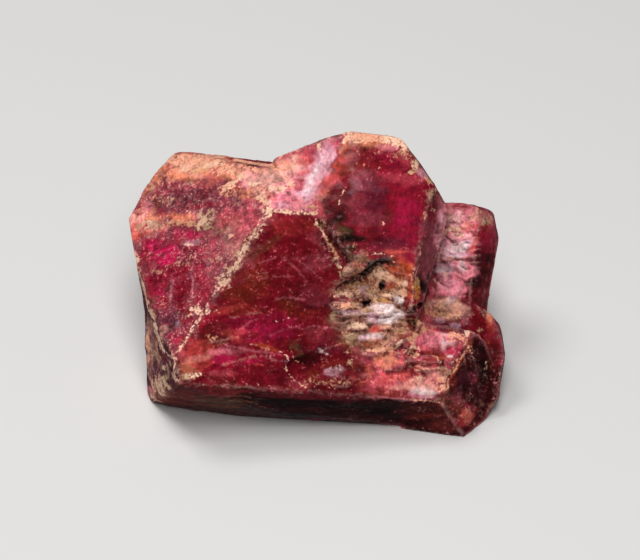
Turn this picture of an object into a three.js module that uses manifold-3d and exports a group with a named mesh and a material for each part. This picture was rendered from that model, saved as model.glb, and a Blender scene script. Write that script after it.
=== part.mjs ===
// Spinel: a cluster of octahedral crystals grown together, broken at the front and resting on a flat base.
// Units are millimetres, +Z is up, the broken front looks along -Y and the cluster is longest along X.

import * as THREE from "three";
import { mergeVertices } from "three/addons/utils/BufferGeometryUtils.js";
import Module from "manifold-3d";

const wasm = await Module();
wasm.setup();

// ---- driving dimensions -------------------------------------------------------------------------

const BLANK = 44.0; // block every crystal is cut from
const CUTTER = 160.0; // block that cuts each face

// Middle of each crystal.
const LEFT_CENTRE = [-4.5, 2.0, 6.0];
const FOOT_CENTRE = [-9.0, -1.0, 3.0];
const UPPER_CENTRE = [4.0, 5.0, 9.0];
const SIDE_CENTRE = [9.3, 3.5, 6.0];
const CORNER_CENTRE = [6.5, -1.5, 3.0];
const FIN_CENTRE = [10.2, -0.6, 2.6];

// A face is the way it looks (azimuth 0 is -Y, 90 is +X; elevation up from level) and its reach,
// the distance from the middle of its crystal.
const LEFT_FACES = [
  [-59.5, 57, 4.6], // tall face on the left
  [13.5, 45.5, 4.9], // broad front face
  [-18, 57, 5.09], // worn ridge between the two
  [-12, -34, 7.95], // undercut below the front face
  [1, -18, 8.26], // steeper part of the undercut, at the right
  [-5, -38, 8.07], // bevel at the foot of the undercut
  [-71, 5.5, 6.6], // small low face at the left end
  [-82.5, -9, 6.6], // left end wall
  [-125, -2, 8.6], // back of the left end
  [-86, 66, 6.0], // rough bevel along the top of the tall face
  [168, 55, 7.9], // upper back
  [27, 73, 6.35], // rough shelf above the front face
  [168, -22, 6.6], // lower back
  [75, 40, 8.7], // right end
  [85, -5, 14.7], // foot of the right end
  [168, 12, 8.6], // blunt back edge
];
const FOOT_FACES = [
  [-59.5, 57, 4.1], // top, just under the tall face
  [13.5, 45.5, 5.6], // just under the front face
  [-71, 5.5, 1.73], // small low face at the left end
  [-90, 0, 1.9], // left wall
  [-12, -34, 3.0], // undercut
  [180, 10, 4.0], // grown into the cluster
  [90, 0, 1.5], // grown into the cluster
];
const UPPER_FACES = [
  [3, 50, 4.6], // large upper face
  [-77, 43.5, 7.7], // low end of the crest
  [-33, 52, 5.22], // pink face on its left
  [-60, -19, 3.7], // dark valley below the crest
  [61, 17, 4.75], // dusky face on its right
  [80, -11, 4.0], // side wall over the gap
  [14, 72, 5.64], // pale rim on top
  [62, 52, 5.41], // pale rim down the shoulder
  [115, 24, 4.0], // right shoulder
  [170, 47.5, 5.4], // upper back
  [-160, 34, 5.15], // back of the crest
  [178, -20, 4.4], // lower back
  [-95, -10, 7.0], // grown into the cluster
  [3, -30, 7.2], // underside, grown into the cluster
];
const SIDE_FACES = [
  [-50, 34.5, 1.1], // stepped strip
  [55, 22, 1.7], // dark red face
  [-10, 62, 3.0], // top cap
  [115, 41, 3.96], // right shoulder
  [92, 9, 2.53], // right wall
  [84, -7, 1.96], // lower right wall
  [170, 45, 4.4], // upper back
  [175, -20, 3.0], // lower back
  [-110, 10, 3.4], // grown into the cluster
  [-20, -22, 3.55], // underside
];
const CORNER_FACES = [
  [28, 52, 3.07], // pink top
  [5, 36, 3.35], // pale front
  [48, 21.5, 3.45], // dark side
  [-12, -6, 3.71], // foot
  [-85, 10, 0.9], // grown into the cluster
  [180, 10, 0.3], // back, below the side crystal
  [110, 10, 4.2], // grown into the fin
  [67, -25, 5.64], // bevel at its foot
];
const FIN_FACES = [
  [-10, 41, 0.97], // front
  [94, 5, 1.77], // right wall
  [84, -7, 1.78], // lower right wall
  [101, 28, 2.15], // upper right edge
  [75, 39, 2.29], // upper edge
  [67, -25, 2.68], // lower right edge
  [35, 5, 2.95], // lower front edge
  [140, 35, 2.6], // upper back
  [165, 0, 3.0], // back
  [-90, 0, 2.6], // grown into the cluster
];

// Hollow broken out below the upper crystal.
const PIT_CENTRE = [3.95, -1.85, 9.25];
const PIT_FACES = [
  [-134, 40, 1.62], // roof on the left
  [180, 50, 1.8], // roof
  [150.7, -13.5, 1.28], // sloping rim on the right
  [125.3, -33.2, 1.72], // sloping right side
  [-80, -25, 2.7], // left side
  [-20, -50, 2.3], // open below
  [180, -47, 1.35], // floor, inside the rock
];

// Ledges are given on a face: across, up the slope, width, depth, how far they stand out, lean back
// from the face in degrees and turn in degrees.
const PIT_LEDGES = [
  [4.9, -2.4, 1.9, 1.0, 0.22, 26, 4],
  [5.6, -3.0, 2.3, 1.1, 0.3, 26, -6],
  [7.7, -2.9, 3.0, 1.6, 0.34, 22, 3],
  [6.1, -3.7, 2.1, 1.1, 0.3, 27, 8],
  [7.3, -4.0, 1.9, 1.1, 0.32, 28, -8],
  [6.6, -4.6, 2.6, 1.1, 0.26, 28, 3],
  [7.6, -5.0, 2.9, 1.2, 0.24, 24, -5],
  [6.5, -5.5, 2.2, 1.0, 0.17, 24, 2],
  [8.9, -5.2, 1.4, 1.7, 0.26, 8, -14],
  [7.8, -6.4, 2.2, 1.6, 0.17, 6, 10],
  [5.6, -6.6, 1.9, 1.2, 0.1, 10, -9],
  [9.3, -2.3, 1.1, 2.0, 0.42, 5, -16],
  [4.4, -7.0, 2.1, 1.3, 0.1, 8, 14],
  [8.9, -7.9, 3.4, 1.5, 0.14, 5, -14],
];
const LIP_LEDGES = [
  [-2.2, -3.6, 1.6, 0.8, 0.12, 12, 38],
  [-1.5, -3.0, 1.5, 0.6, 0.16, 18, 30],
];
const TALL_LEDGES = [
  [-5.2, -1.9, 1.9, 1.4, 0.12, 3, 10],
  [-6.4, 1.6, 2.4, 1.3, 0.12, 6, 56],
  [-3.9, 2.3, 2.8, 1.2, 0.1, 5, 44],
];
const CORNER_LEDGES = [
  [0.7, 0.3, 2.6, 1.3, 0.12, 5, -6],
  [-0.9, -0.2, 1.5, 1.1, 0.1, 8, 12],
];
const CORNER_SHELVES = [
  [0.0, 0.35, 2.8, 0.7, 0.14, 24, -2],
  [0.2, -0.2, 2.4, 0.7, 0.14, 20, 3],
  [0.5, -1.4, 2.1, 1.3, 0.12, 4, -5],
];
const STEEP_LAYERS = [
  [5.4, -0.05, 11.0, 1.2, 0.05, 0, -9.5, 4],
];
const BACK_LEDGES = [
  [-3.0, 1.2, 6.0, 1.6, 0.3, 16, 4],
  [2.4, 0.2, 6.0, 1.8, 0.35, 14, -6],
  [-1.2, -1.6, 7.0, 1.8, 0.3, 15, 3],
];

// Growth terraces: the face they lie on, how far they rise and how far they keep from its edges.
const LEFT_TERRACES = [
  [10, 0.12, 0.7],
  [10, 0.24, 1.6],
  [12, 0.2, 1.0],
  [8, 0.15, 0.9],
];
const UPPER_TERRACES = [
  [8, 0.15, 0.7],
  [9, 0.15, 0.6],
  [10, 0.2, 0.9],
];
const SIDE_TERRACES = [
  [1, 0.07, 0.3],
  [6, 0.1, 0.5],
];

// Stepped strip of the side crystal.
const STRIP_STEPS = 9;
const STRIP_PITCH = 0.36;
const STRIP_TOP = [-1.2, 3.35];
const STRIP_DRIFT = 0.1; // sideways move per step
const STRIP_BLOCKS = [
  [0.4, -0.95, 2.0, 1.2, 0.2, 8, -4, 4],
  [1.0, -1.9, 2.0, 0.6, 0.22, 24, 6, 4],
  [1.3, -2.4, 2.1, 0.6, 0.16, 24, -5, 4],
];

// Round-backed scar on the front face and the small holes in the hollow: across, up, half sizes.
const SCAR = [2.9, -5.7, 1.75, 1.1, 0.34];
const RECESS = [1.1, -0.7, 0.35, 1.3, 0.55];
const KNOB = [-0.5, -3.3, 0.6, 0.7, 0.3];
const HOLES = [
  [7.7, -1.6, 0.2, 0.3, 1.4],
  [6.5, -2.5, 0.26, 0.24, 0.8],
];
// Angular crack at the right of the hollow, given as a ledge is.
const CREVICE = [9.75, -3.2, 1.5, 0.42, 1.0, 0, 34];

// ---- helpers ------------------------------------------------------------------------------------

function solid(geometry) {
  const bare = new THREE.BufferGeometry();
  bare.setAttribute("position", geometry.getAttribute("position").clone());
  if (geometry.index) bare.setIndex(geometry.index.clone());
  const merged = mergeVertices(bare, 1e-4);
  const mesh = new wasm.Mesh({
    numProp: 3,
    vertProperties: new Float32Array(merged.getAttribute("position").array),
    triVerts: new Uint32Array(merged.index.array),
  });
  return new wasm.Manifold(mesh);
}

function facing(azimuth, elevation) {
  const a = THREE.MathUtils.degToRad(azimuth);
  const e = THREE.MathUtils.degToRad(elevation);
  return new THREE.Vector3(
    Math.sin(a) * Math.cos(e),
    -Math.cos(a) * Math.cos(e),
    Math.sin(e),
  );
}

// Everything beyond the plane that looks along normal at reach from centre.
function beyond(centre, normal, reach) {
  const block = new THREE.BoxGeometry(CUTTER, CUTTER, CUTTER);
  const turn = new THREE.Quaternion().setFromUnitVectors(new THREE.Vector3(0, 0, 1), normal);
  const middle = new THREE.Vector3(...centre).addScaledVector(normal, reach + CUTTER / 2);
  block.applyQuaternion(turn);
  block.translate(middle.x, middle.y, middle.z);
  return solid(block);
}

function crystal(centre, faces) {
  const block = new THREE.BoxGeometry(BLANK, BLANK, BLANK);
  block.translate(...centre);
  let body = solid(block);
  for (const [azimuth, elevation, reach] of faces) {
    body = body.subtract(beyond(centre, facing(azimuth, elevation), reach));
  }
  return body;
}

// Axes lying on a face: x level across it, y up its slope, z straight out.
function onFace(centre, [azimuth, elevation, reach]) {
  const out = facing(azimuth, elevation);
  const a = THREE.MathUtils.degToRad(azimuth);
  const across = new THREE.Vector3(Math.cos(a), Math.sin(a), 0);
  const up = new THREE.Vector3().crossVectors(out, across);
  const middle = new THREE.Vector3(...centre).addScaledVector(out, reach);
  return new THREE.Matrix4().makeBasis(across, up, out).setPosition(middle);
}

// Low plate with bevelled edges, its foot sunk in the face.
function plate(place, [x, y, wide, deep, stand, lean, turn, sides = 6]) {
  const sunk = 0.6;
  const tall = stand + sunk;
  const bevel = 0.35 * (tall / (wide + deep));
  const shape = new THREE.CylinderGeometry(0.5 - bevel, 0.5, tall, sides);
  shape.rotateX(Math.PI / 2);
  if (sides === 4) {
    shape.rotateZ(Math.PI / 4);
    shape.scale(Math.SQRT2, Math.SQRT2, 1);
  }
  shape.scale(wide, deep, 1);
  shape.translate(0, 0, stand - tall / 2);
  shape.rotateZ(THREE.MathUtils.degToRad(turn));
  shape.rotateX(-THREE.MathUtils.degToRad(lean));
  shape.translate(x, y, 0);
  shape.applyMatrix4(place);
  return solid(shape);
}

function addPlates(body, centre, face, plates) {
  const place = onFace(centre, face);
  return plates.reduce((grown, one) => grown.add(plate(place, one)), body);
}

// Raised step on one face with its edges along the neighbouring faces.
function addTerraces(body, centre, faces, terraces) {
  let grown = body;
  for (const [index, rise, inset] of terraces) {
    const stepped = faces.map(([azimuth, elevation, reach], i) => [
      azimuth,
      elevation,
      i === index ? reach + rise : reach - inset,
    ]);
    grown = grown.add(crystal(centre, stepped));
  }
  return grown;
}

// Rounded hollow or lump on a face.
function bowl(place, [x, y, halfWide, halfDeep, halfTall], detail) {
  const shape = new THREE.IcosahedronGeometry(1, detail);
  shape.scale(halfWide, halfDeep, halfTall);
  shape.translate(x, y, 0);
  shape.applyMatrix4(place);
  return solid(shape);
}

// Repeatable scatter value between 0 and 1.
function scatter(step, salt) {
  const wave = Math.sin(step * 12.9898 + salt * 78.233) * 43758.5453;
  return wave - Math.floor(wave);
}

// Rough patch of small broken points, half sunk in a face.
function addCrumbs(body, centre, face, patch) {
  const place = onFace(centre, face);
  let grown = body;
  for (let i = 0; i < patch.count; i += 1) {
    const size = patch.size * (0.6 + 0.8 * scatter(i, patch.salt));
    const crumb = new THREE.OctahedronGeometry(size, 0);
    crumb.scale(1.5, 1, 0.55);
    crumb.rotateZ(Math.PI * scatter(i, patch.salt + 1));
    crumb.rotateX(0.5 * (scatter(i, patch.salt + 2) - 0.5));
    crumb.translate(
      patch.wide * (scatter(i, patch.salt + 3) - 0.5),
      patch.deep * (scatter(i, patch.salt + 4) - 0.5),
      0,
    );
    crumb.rotateZ(THREE.MathUtils.degToRad(patch.turn));
    crumb.translate(patch.x, patch.y, 0);
    crumb.applyMatrix4(place);
    grown = grown.add(solid(crumb));
  }
  return grown;
}

// ---- the cluster --------------------------------------------------------------------------------

let cluster = crystal(LEFT_CENTRE, LEFT_FACES)
  .add(crystal(FOOT_CENTRE, FOOT_FACES))
  .add(crystal(UPPER_CENTRE, UPPER_FACES))
  .add(crystal(SIDE_CENTRE, SIDE_FACES))
  .add(crystal(CORNER_CENTRE, CORNER_FACES))
  .add(crystal(FIN_CENTRE, FIN_FACES));

const TALL = LEFT_FACES[0];
const FRONT = LEFT_FACES[1];
const STEEP = LEFT_FACES[4];
const LOW = LEFT_FACES[6];
const BEVEL = LEFT_FACES[9];
const SHELF = LEFT_FACES[11];
const LOWER_BACK = LEFT_FACES[12];

cluster = addTerraces(cluster, LEFT_CENTRE, LEFT_FACES, LEFT_TERRACES);
cluster = addTerraces(cluster, UPPER_CENTRE, UPPER_FACES, UPPER_TERRACES);
cluster = addTerraces(cluster, SIDE_CENTRE, SIDE_FACES, SIDE_TERRACES);

cluster = cluster.subtract(crystal(PIT_CENTRE, PIT_FACES));
cluster = addPlates(cluster, LEFT_CENTRE, FRONT, PIT_LEDGES);
cluster = addPlates(cluster, LEFT_CENTRE, STEEP, STEEP_LAYERS);
cluster = addPlates(cluster, UPPER_CENTRE, UPPER_FACES[0], LIP_LEDGES);
cluster = addPlates(cluster, LEFT_CENTRE, TALL, TALL_LEDGES);
cluster = addPlates(cluster, CORNER_CENTRE, CORNER_FACES[0], CORNER_LEDGES);
cluster = addPlates(cluster, CORNER_CENTRE, CORNER_FACES[1], CORNER_SHELVES);
cluster = addPlates(cluster, LEFT_CENTRE, LOWER_BACK, BACK_LEDGES);

const strip = [];
for (let i = 0; i < STRIP_STEPS; i += 1) {
  const wide = 1.8 + 0.3 * scatter(i, 5);
  const stand = 0.08 + 0.16 * scatter(i, 6);
  strip.push([
    STRIP_TOP[0] + STRIP_DRIFT * i,
    STRIP_TOP[1] - STRIP_PITCH * i,
    wide,
    0.44,
    stand,
    24,
    8 * (scatter(i, 7) - 0.5),
    4,
  ]);
}
cluster = addPlates(cluster, SIDE_CENTRE, SIDE_FACES[0], strip.concat(STRIP_BLOCKS));

cluster = addCrumbs(cluster, LEFT_CENTRE, SHELF, {
  x: 3.8, y: 2.1, wide: 3.4, deep: 2.2, turn: -15, count: 28, size: 0.2, salt: 11,
});
cluster = addCrumbs(cluster, LEFT_CENTRE, BEVEL, {
  x: -5.7, y: -0.4, wide: 6.0, deep: 1.3, turn: 58, count: 30, size: 0.22, salt: 21,
});
cluster = addCrumbs(cluster, LEFT_CENTRE, LOW, {
  x: 3.6, y: -3.4, wide: 1.8, deep: 1.8, turn: 0, count: 12, size: 0.28, salt: 31,
});
cluster = addCrumbs(cluster, SIDE_CENTRE, SIDE_FACES[0], {
  x: 1.2, y: -2.2, wide: 1.8, deep: 1.2, turn: 0, count: 9, size: 0.2, salt: 41,
});

const frontPlace = onFace(LEFT_CENTRE, FRONT);
cluster = cluster.subtract(bowl(frontPlace, SCAR, 2));
for (const hole of HOLES) {
  cluster = cluster.subtract(bowl(frontPlace, hole, 1));
}
cluster = cluster.subtract(plate(frontPlace, CREVICE));
cluster = cluster.subtract(bowl(onFace(CORNER_CENTRE, CORNER_FACES[2]), RECESS, 1));
cluster = cluster.add(bowl(onFace(CORNER_CENTRE, CORNER_FACES[2]), KNOB, 1));

cluster = cluster.subtract(beyond([0, 0, 0], new THREE.Vector3(0, 0, -1), 0));

// ---- named node ---------------------------------------------------------------------------------

const joined = cluster.getMesh();
const geometry = new THREE.BufferGeometry();
const corners = new Float32Array(joined.vertProperties);
geometry.setAttribute("position", new THREE.BufferAttribute(corners, 3));
geometry.setIndex(new THREE.BufferAttribute(new Uint32Array(joined.triVerts), 1));

// The origin goes to the middle of the base.
geometry.computeBoundingBox();
const middle = geometry.boundingBox.getCenter(new THREE.Vector3());
geometry.translate(-middle.x, -middle.y, -geometry.boundingBox.min.z);

// Every facet keeps its own corners, so that it is shaded flat.
const faceted = geometry.toNonIndexed();
faceted.computeVertexNormals();

const spinel = new THREE.Mesh(
  faceted,
  new THREE.MeshStandardMaterial({ color: "#8c1430", roughness: 0.35, metalness: 0 }),
);
spinel.name = "spinel_crystal";

const group = new THREE.Group();
group.add(spinel);
export default group;
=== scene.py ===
"""Spinel: a hand specimen of octahedral crystals grown together.

Ruby red, worn pale on its edges, with a broken and iron-stained hollow between the crystals.
"""

import math

import bpy
import numpy as np
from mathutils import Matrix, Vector
from mathutils.bvhtree import BVHTree
from mathutils.kdtree import KDTree


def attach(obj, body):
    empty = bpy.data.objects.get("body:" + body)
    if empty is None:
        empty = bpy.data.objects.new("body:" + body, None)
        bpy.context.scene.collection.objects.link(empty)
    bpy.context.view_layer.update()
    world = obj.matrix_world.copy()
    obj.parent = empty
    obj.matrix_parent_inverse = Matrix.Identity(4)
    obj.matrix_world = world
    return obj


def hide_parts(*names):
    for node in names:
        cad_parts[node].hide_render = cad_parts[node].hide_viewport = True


MM = 0.001

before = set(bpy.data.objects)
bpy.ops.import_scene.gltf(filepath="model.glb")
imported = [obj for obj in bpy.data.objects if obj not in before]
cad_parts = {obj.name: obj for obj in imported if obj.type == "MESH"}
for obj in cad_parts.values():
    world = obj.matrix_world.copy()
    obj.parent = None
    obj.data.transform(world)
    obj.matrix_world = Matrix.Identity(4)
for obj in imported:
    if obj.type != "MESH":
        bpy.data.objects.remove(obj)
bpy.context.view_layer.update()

# ---- how it is seen -----------------------------------------------------------------------------

VIEW_TILT = math.radians(40)  # above level
VIEW_CENTRE = np.array([0.289, -2.084, 8.185])  # mm
VIEW_DISTANCE = 224.0  # mm
LENS = 199.5  # mm
SENSOR = 36.0  # mm
NEAREST, FARTHEST = 0.01, 10.0  # m

RIGHT = np.array([1.0, 0.0, 0.0])
UP = np.array([0.0, math.sin(VIEW_TILT), math.cos(VIEW_TILT)])
TOWARD = np.array([0.0, -math.cos(VIEW_TILT), math.sin(VIEW_TILT)])


def add_camera():
    data = bpy.data.cameras.new("camera")
    data.lens = LENS
    data.sensor_width = SENSOR
    data.clip_start, data.clip_end = NEAREST, FARTHEST
    camera = bpy.data.objects.new("camera", data)
    bpy.context.collection.objects.link(camera)
    camera.location = Vector((VIEW_CENTRE + TOWARD * VIEW_DISTANCE) * MM)
    camera.rotation_euler = (math.pi / 2 - VIEW_TILT, 0, 0)
    bpy.context.scene.camera = camera


add_camera()

# ---- helpers ------------------------------------------------------------------------------------


def linear(code):
    """sRGB hex to the linear colour a shader takes."""
    parts = [int(code[i : i + 2], 16) / 255 for i in (1, 3, 5)]
    return tuple(c / 12.92 if c <= 0.04045 else ((c + 0.055) / 1.055) ** 2.4 for c in parts)


def lattice(i, j, k, seed):
    """Repeatable value between 0 and 1 at each whole-number point."""
    with np.errstate(over="ignore"):
        h = i.astype(np.uint32) * np.uint32(374761393)
        h += j.astype(np.uint32) * np.uint32(668265263)
        h += k.astype(np.uint32) * np.uint32(2246822519)
        h += np.uint32(seed * 3266489917 % 4294967296)
        h = (h ^ (h >> np.uint32(13))) * np.uint32(1274126177)
        h ^= h >> np.uint32(16)
    return h / 4294967295.0


def noise(points, size, seed):
    """Smooth noise between 0 and 1 with lumps about size across."""
    q = points / size
    base = np.floor(q).astype(np.int64)
    f = q - base
    f = f * f * (3 - 2 * f)
    total = 0
    for dx in (0, 1):
        for dy in (0, 1):
            for dz in (0, 1):
                weight = (
                    (f[:, 0] if dx else 1 - f[:, 0])
                    * (f[:, 1] if dy else 1 - f[:, 1])
                    * (f[:, 2] if dz else 1 - f[:, 2])
                )
                corner = lattice(base[:, 0] + dx, base[:, 1] + dy, base[:, 2] + dz, seed)
                total = total + weight * corner
    return total


def layered(points, size, octaves, seed):
    """Noise at several sizes, each half the last, about 0."""
    total, share = 0, 1.0
    for step in range(octaves):
        total = total + share * (noise(points, size / 2**step, seed + step) - 0.5) * 2
        share /= 2
    return total


def smooth_step(low, high, value):
    """From 0 at low to 1 at high, eased at both; low may be the larger one."""
    t = np.clip((value - low) / (high - low), 0, 1)
    return t * t * (3 - 2 * t)


def direction(azimuth, elevation):
    """Azimuth from the front round to the right and elevation above level, in degrees."""
    a, e = math.radians(azimuth), math.radians(elevation)
    return np.array([math.sin(a) * math.cos(e), -math.cos(a) * math.cos(e), math.sin(e)])


def select_only(obj):
    bpy.ops.object.select_all(action="DESELECT")
    obj.select_set(True)
    bpy.context.view_layer.objects.active = obj


def apply_modifier(obj, kind, **settings):
    modifier = obj.modifiers.new(kind.lower(), kind)
    for key, value in settings.items():
        setattr(modifier, key, value)
    select_only(obj)
    bpy.ops.object.modifier_apply(modifier=modifier.name)


def read(items, key, width, kind=np.float32):
    """One row of width numbers for each of a mesh's points, edges or faces."""
    values = np.empty(len(items) * width, dtype=kind)
    items.foreach_get(key, values)
    return values.reshape(-1, width)


def spread(values, edges, rounds):
    """Average of each point's values with its neighbours', repeated."""
    count = len(values)
    ends = np.concatenate([edges[:, 0], edges[:, 1]])
    others = np.concatenate([edges[:, 1], edges[:, 0]])
    near = np.maximum(np.bincount(ends, minlength=count), 1)
    flat = values.reshape(count, -1).copy()
    for _ in range(rounds):
        summed = [np.bincount(ends, weights=column[others], minlength=count) for column in flat.T]
        flat = 0.5 * flat + 0.5 * np.stack(summed, 1) / near[:, None]
    return flat.reshape(values.shape)


# ---- the crystal faces --------------------------------------------------------------------------

# middle of each crystal, in mm; SHIFT sets them all over the middle of the part
SHIFT = np.array([0.099, -2.328, 0.0])
LEFT = np.array([-4.5, 2.0, 6.0]) + SHIFT
UPPER = np.array([4.0, 5.0, 9.0]) + SHIFT
SIDE = np.array([9.3, 3.5, 6.0]) + SHIFT
CORNER = np.array([6.5, -1.5, 3.0]) + SHIFT
FIN = np.array([10.2, -0.6, 2.6]) + SHIFT

# each face: azimuth, elevation, distance from the middle and half its width (mm)
FACES = {
    "tall": (LEFT, -59.5, 57, 4.6, 13),
    "front": (LEFT, 13.5, 45.5, 4.9, 14),
    "undercut": (LEFT, -12, -34, 7.95, 14),
    "steep": (LEFT, 1, -18, 8.26, 14),
    "low": (LEFT, -71, 5.5, 6.6, 9),
    "end": (LEFT, -82.5, -9, 6.6, 9),
    "bevel": (LEFT, -86, 66, 6.0, 8),
    "shelf": (LEFT, 27, 73, 6.35, 7),
    "upper": (UPPER, 3, 50, 4.6, 7.5),
    "pink": (UPPER, -33, 52, 5.22, 7),
    "valley": (UPPER, -60, -19, 3.7, 6),
    "dusky": (UPPER, 61, 17, 4.75, 4.5),
    "rim": (UPPER, 14, 72, 5.64, 6),
    "shoulder": (UPPER, 62, 52, 5.41, 5),
    "strip": (SIDE, -50, 34.5, 1.1, 6),
    "red": (SIDE, 55, 22, 1.7, 6),
    "cap": (SIDE, -10, 62, 3.0, 5),
    "top": (CORNER, 28, 52, 3.07, 4.5),
    "block": (CORNER, 5, 36, 3.35, 4.2),
    "side": (CORNER, 48, 21.5, 3.45, 5.5),
    "foot": (CORNER, -12, -6, 3.71, 6),
    "fin": (FIN, -10, 41, 0.97, 6),
}

OFF_FACE, ON_FACE = 0.6, 0.3  # mm from the plane of a face
LEANING, FLAT = 0.9, 0.985  # cosine of the tilt away from a face
PAST_END, BEFORE_END = 1.15, 0.85  # of half the width of a face


def face_share(name, points, normals):
    """How far each point belongs to a face: near its plane, looking its way, not far along it."""
    centre, azimuth, elevation, distance, width = FACES[name]
    out = direction(azimuth, elevation)
    off = np.abs((points - centre) @ out - distance)
    along = np.linalg.norm(points - centre - out * distance, axis=1)
    share = smooth_step(OFF_FACE, ON_FACE, off) * smooth_step(LEANING, FLAT, normals @ out)
    return share * smooth_step(PAST_END * width, BEFORE_END * width, along)


# ---- finding a place on the stone ---------------------------------------------------------------

BROAD_ROUNDS = 8  # how far normals are evened out
PATCH_RIM = (1.3, 0.65)  # of its half size: where an oval starts and where it is full
STROKE_RIM = (1.5, 0.6)  # of half its width
PATCH_REACH = (2.2, 0.4)  # how deep an oval reaches: times its half size, and mm more
STROKE_REACH = 0.5  # mm more than its width


def surface_tree(mesh, points):
    corners = read(mesh.loops, "vertex_index", 1, np.int32).ravel()
    starts = read(mesh.polygons, "loop_start", 1, np.int32).ravel()
    faces = [part.tolist() for part in np.split(corners, starts[1:])]
    return BVHTree.FromPolygons(points.tolist(), faces)


def sheet_position(points):
    """Across, up and toward of each point, as it lies on the front view, in mm."""
    away = points - VIEW_CENTRE
    toward = away @ TOWARD
    grow = VIEW_DISTANCE / (VIEW_DISTANCE - toward)
    return np.stack([(away @ RIGHT) * grow, (away @ UP) * grow, toward], 1)


class Survey:
    """A mesh as arrays, in mm, with what its relief and its paint are placed by."""

    def __init__(self, mesh):
        self.points = read(mesh.vertices, "co", 3).astype(np.float64) / MM
        self.edges = read(mesh.edges, "vertices", 2, np.int32)
        normals = read(mesh.vertex_normals, "vector", 3).astype(np.float64)
        broad = spread(normals, self.edges, BROAD_ROUNDS)
        self.broad = broad / np.linalg.norm(broad, axis=1)[:, None]
        self.back = smooth_step(0.0, -0.45, self.broad @ TOWARD)  # 1 on the side seen least
        self.tree = surface_tree(mesh, self.points)
        self.sheet = sheet_position(self.points)

    def bulge(self, points, rounds):
        """How far each point stands out from the average of those around it, in mm."""
        return np.einsum("ij,ij->i", points - spread(points, self.edges, rounds), self.broad)

    def toward(self, u, v):
        """Toward of the surface at u across and v up on the front view, or None if missed."""
        eye = VIEW_CENTRE + TOWARD * VIEW_DISTANCE
        aim = VIEW_CENTRE + RIGHT * u + UP * v
        hit = self.tree.ray_cast(Vector(eye), Vector(aim - eye).normalized())[0]
        return None if hit is None else float((np.array(hit) - VIEW_CENTRE) @ TOWARD)

    def patch_share(self, u, v, wide, high, turn=0, sheet=None):
        """Share of an oval laid on the surface, fading at its rim."""
        sheet = self.sheet if sheet is None else sheet
        toward = self.toward(u, v)
        if toward is None:
            return np.zeros(len(sheet))
        a = math.radians(turn)
        du, dv = sheet[:, 0] - u, sheet[:, 1] - v
        across = (du * math.cos(a) + dv * math.sin(a)) / wide
        along = (dv * math.cos(a) - du * math.sin(a)) / high
        deep = (sheet[:, 2] - toward) / (PATCH_REACH[0] * max(wide, high) + PATCH_REACH[1])
        return smooth_step(*PATCH_RIM, np.sqrt(across**2 + along**2 + deep**4))

    def stroke_share(self, width, path, sheet, ragged):
        """Share of a line drawn on the surface; ragged thins and thickens it."""
        share = np.zeros(len(sheet))
        towards = [self.toward(u, v) for u, v in path]
        for (u0, v0), (u1, v1), t0, t1 in zip(path, path[1:], towards, towards[1:]):
            if t0 is None or t1 is None:
                continue
            du, dv = u1 - u0, v1 - v0
            past_u, past_v = sheet[:, 0] - u0, sheet[:, 1] - v0
            part = np.clip((past_u * du + past_v * dv) / (du * du + dv * dv), 0, 1)
            off = np.hypot(past_u - part * du, past_v - part * dv) / (width / 2 * ragged)
            deep = (sheet[:, 2] - t0 - part * (t1 - t0)) / (width + STROKE_REACH)
            share = np.maximum(share, smooth_step(*STROKE_RIM, np.sqrt(off**2 + deep**4)))
        return share


# ---- shape --------------------------------------------------------------------------------------

VOXEL = 0.085  # mm
MOST_TRIANGLES = 194_000
MERGE = 0.000001  # m

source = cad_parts["spinel_crystal"]
skin = source.copy()
skin.data = source.data.copy()
skin.name = "spinel_cluster"
skin.parent = None
bpy.context.collection.objects.link(skin)
skin.data.materials.clear()

select_only(skin)
bpy.ops.object.mode_set(mode="EDIT")
bpy.ops.mesh.select_all(action="SELECT")
bpy.ops.mesh.remove_doubles(threshold=MERGE)
bpy.ops.object.mode_set(mode="OBJECT")

apply_modifier(skin, "REMESH", mode="VOXEL", voxel_size=VOXEL * MM, use_smooth_shade=True)
apply_modifier(skin, "SMOOTH", factor=0.5, iterations=1)

LEDGE_RISE, LEDGE_FALL = 0.8, 0.2  # of the spacing
LEDGE_SPACING, LEDGE_DEPTH = 0.42, 0.13  # mm
LEDGE_NORMAL = UP * 0.9 + np.array([0.12, 0, 0])
BREAK_SIZE, BREAK_DEPTH = 0.42, 0.085  # mm, small facets of broken places
BACK_SIZE, BACK_DEPTH = 2.4, 0.24  # mm, large facets of the back
CHIP_SIZE, CHIP_DEPTH = 0.6, 0.1  # mm, along worn edges
SKIN_GRAIN, BROKEN_GRAIN, GRAIN_SIZE = 0.012, 0.03, 0.26  # mm high, mm across
EDGE_BEND = (0.012, 0.06)  # mm that an edge stands out: where wear starts and is full
CHIPPED = (0.45, 0.8)  # of the noise that places the chips
LEDGE_WANDER = 1.6  # mm
ROUNDED, WORN, NEARBY = 70, 5, 14  # rounds of averaging
LUMPS = ((0.07, 3.6, 1), (0.035, 1.1, 7))  # height and size (mm), seed
EDGE_WEAR = 0.45  # how broken the edges are
FLOOR_BAND = (0.05, 0.3)  # mm above the floor where the relief begins


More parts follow.
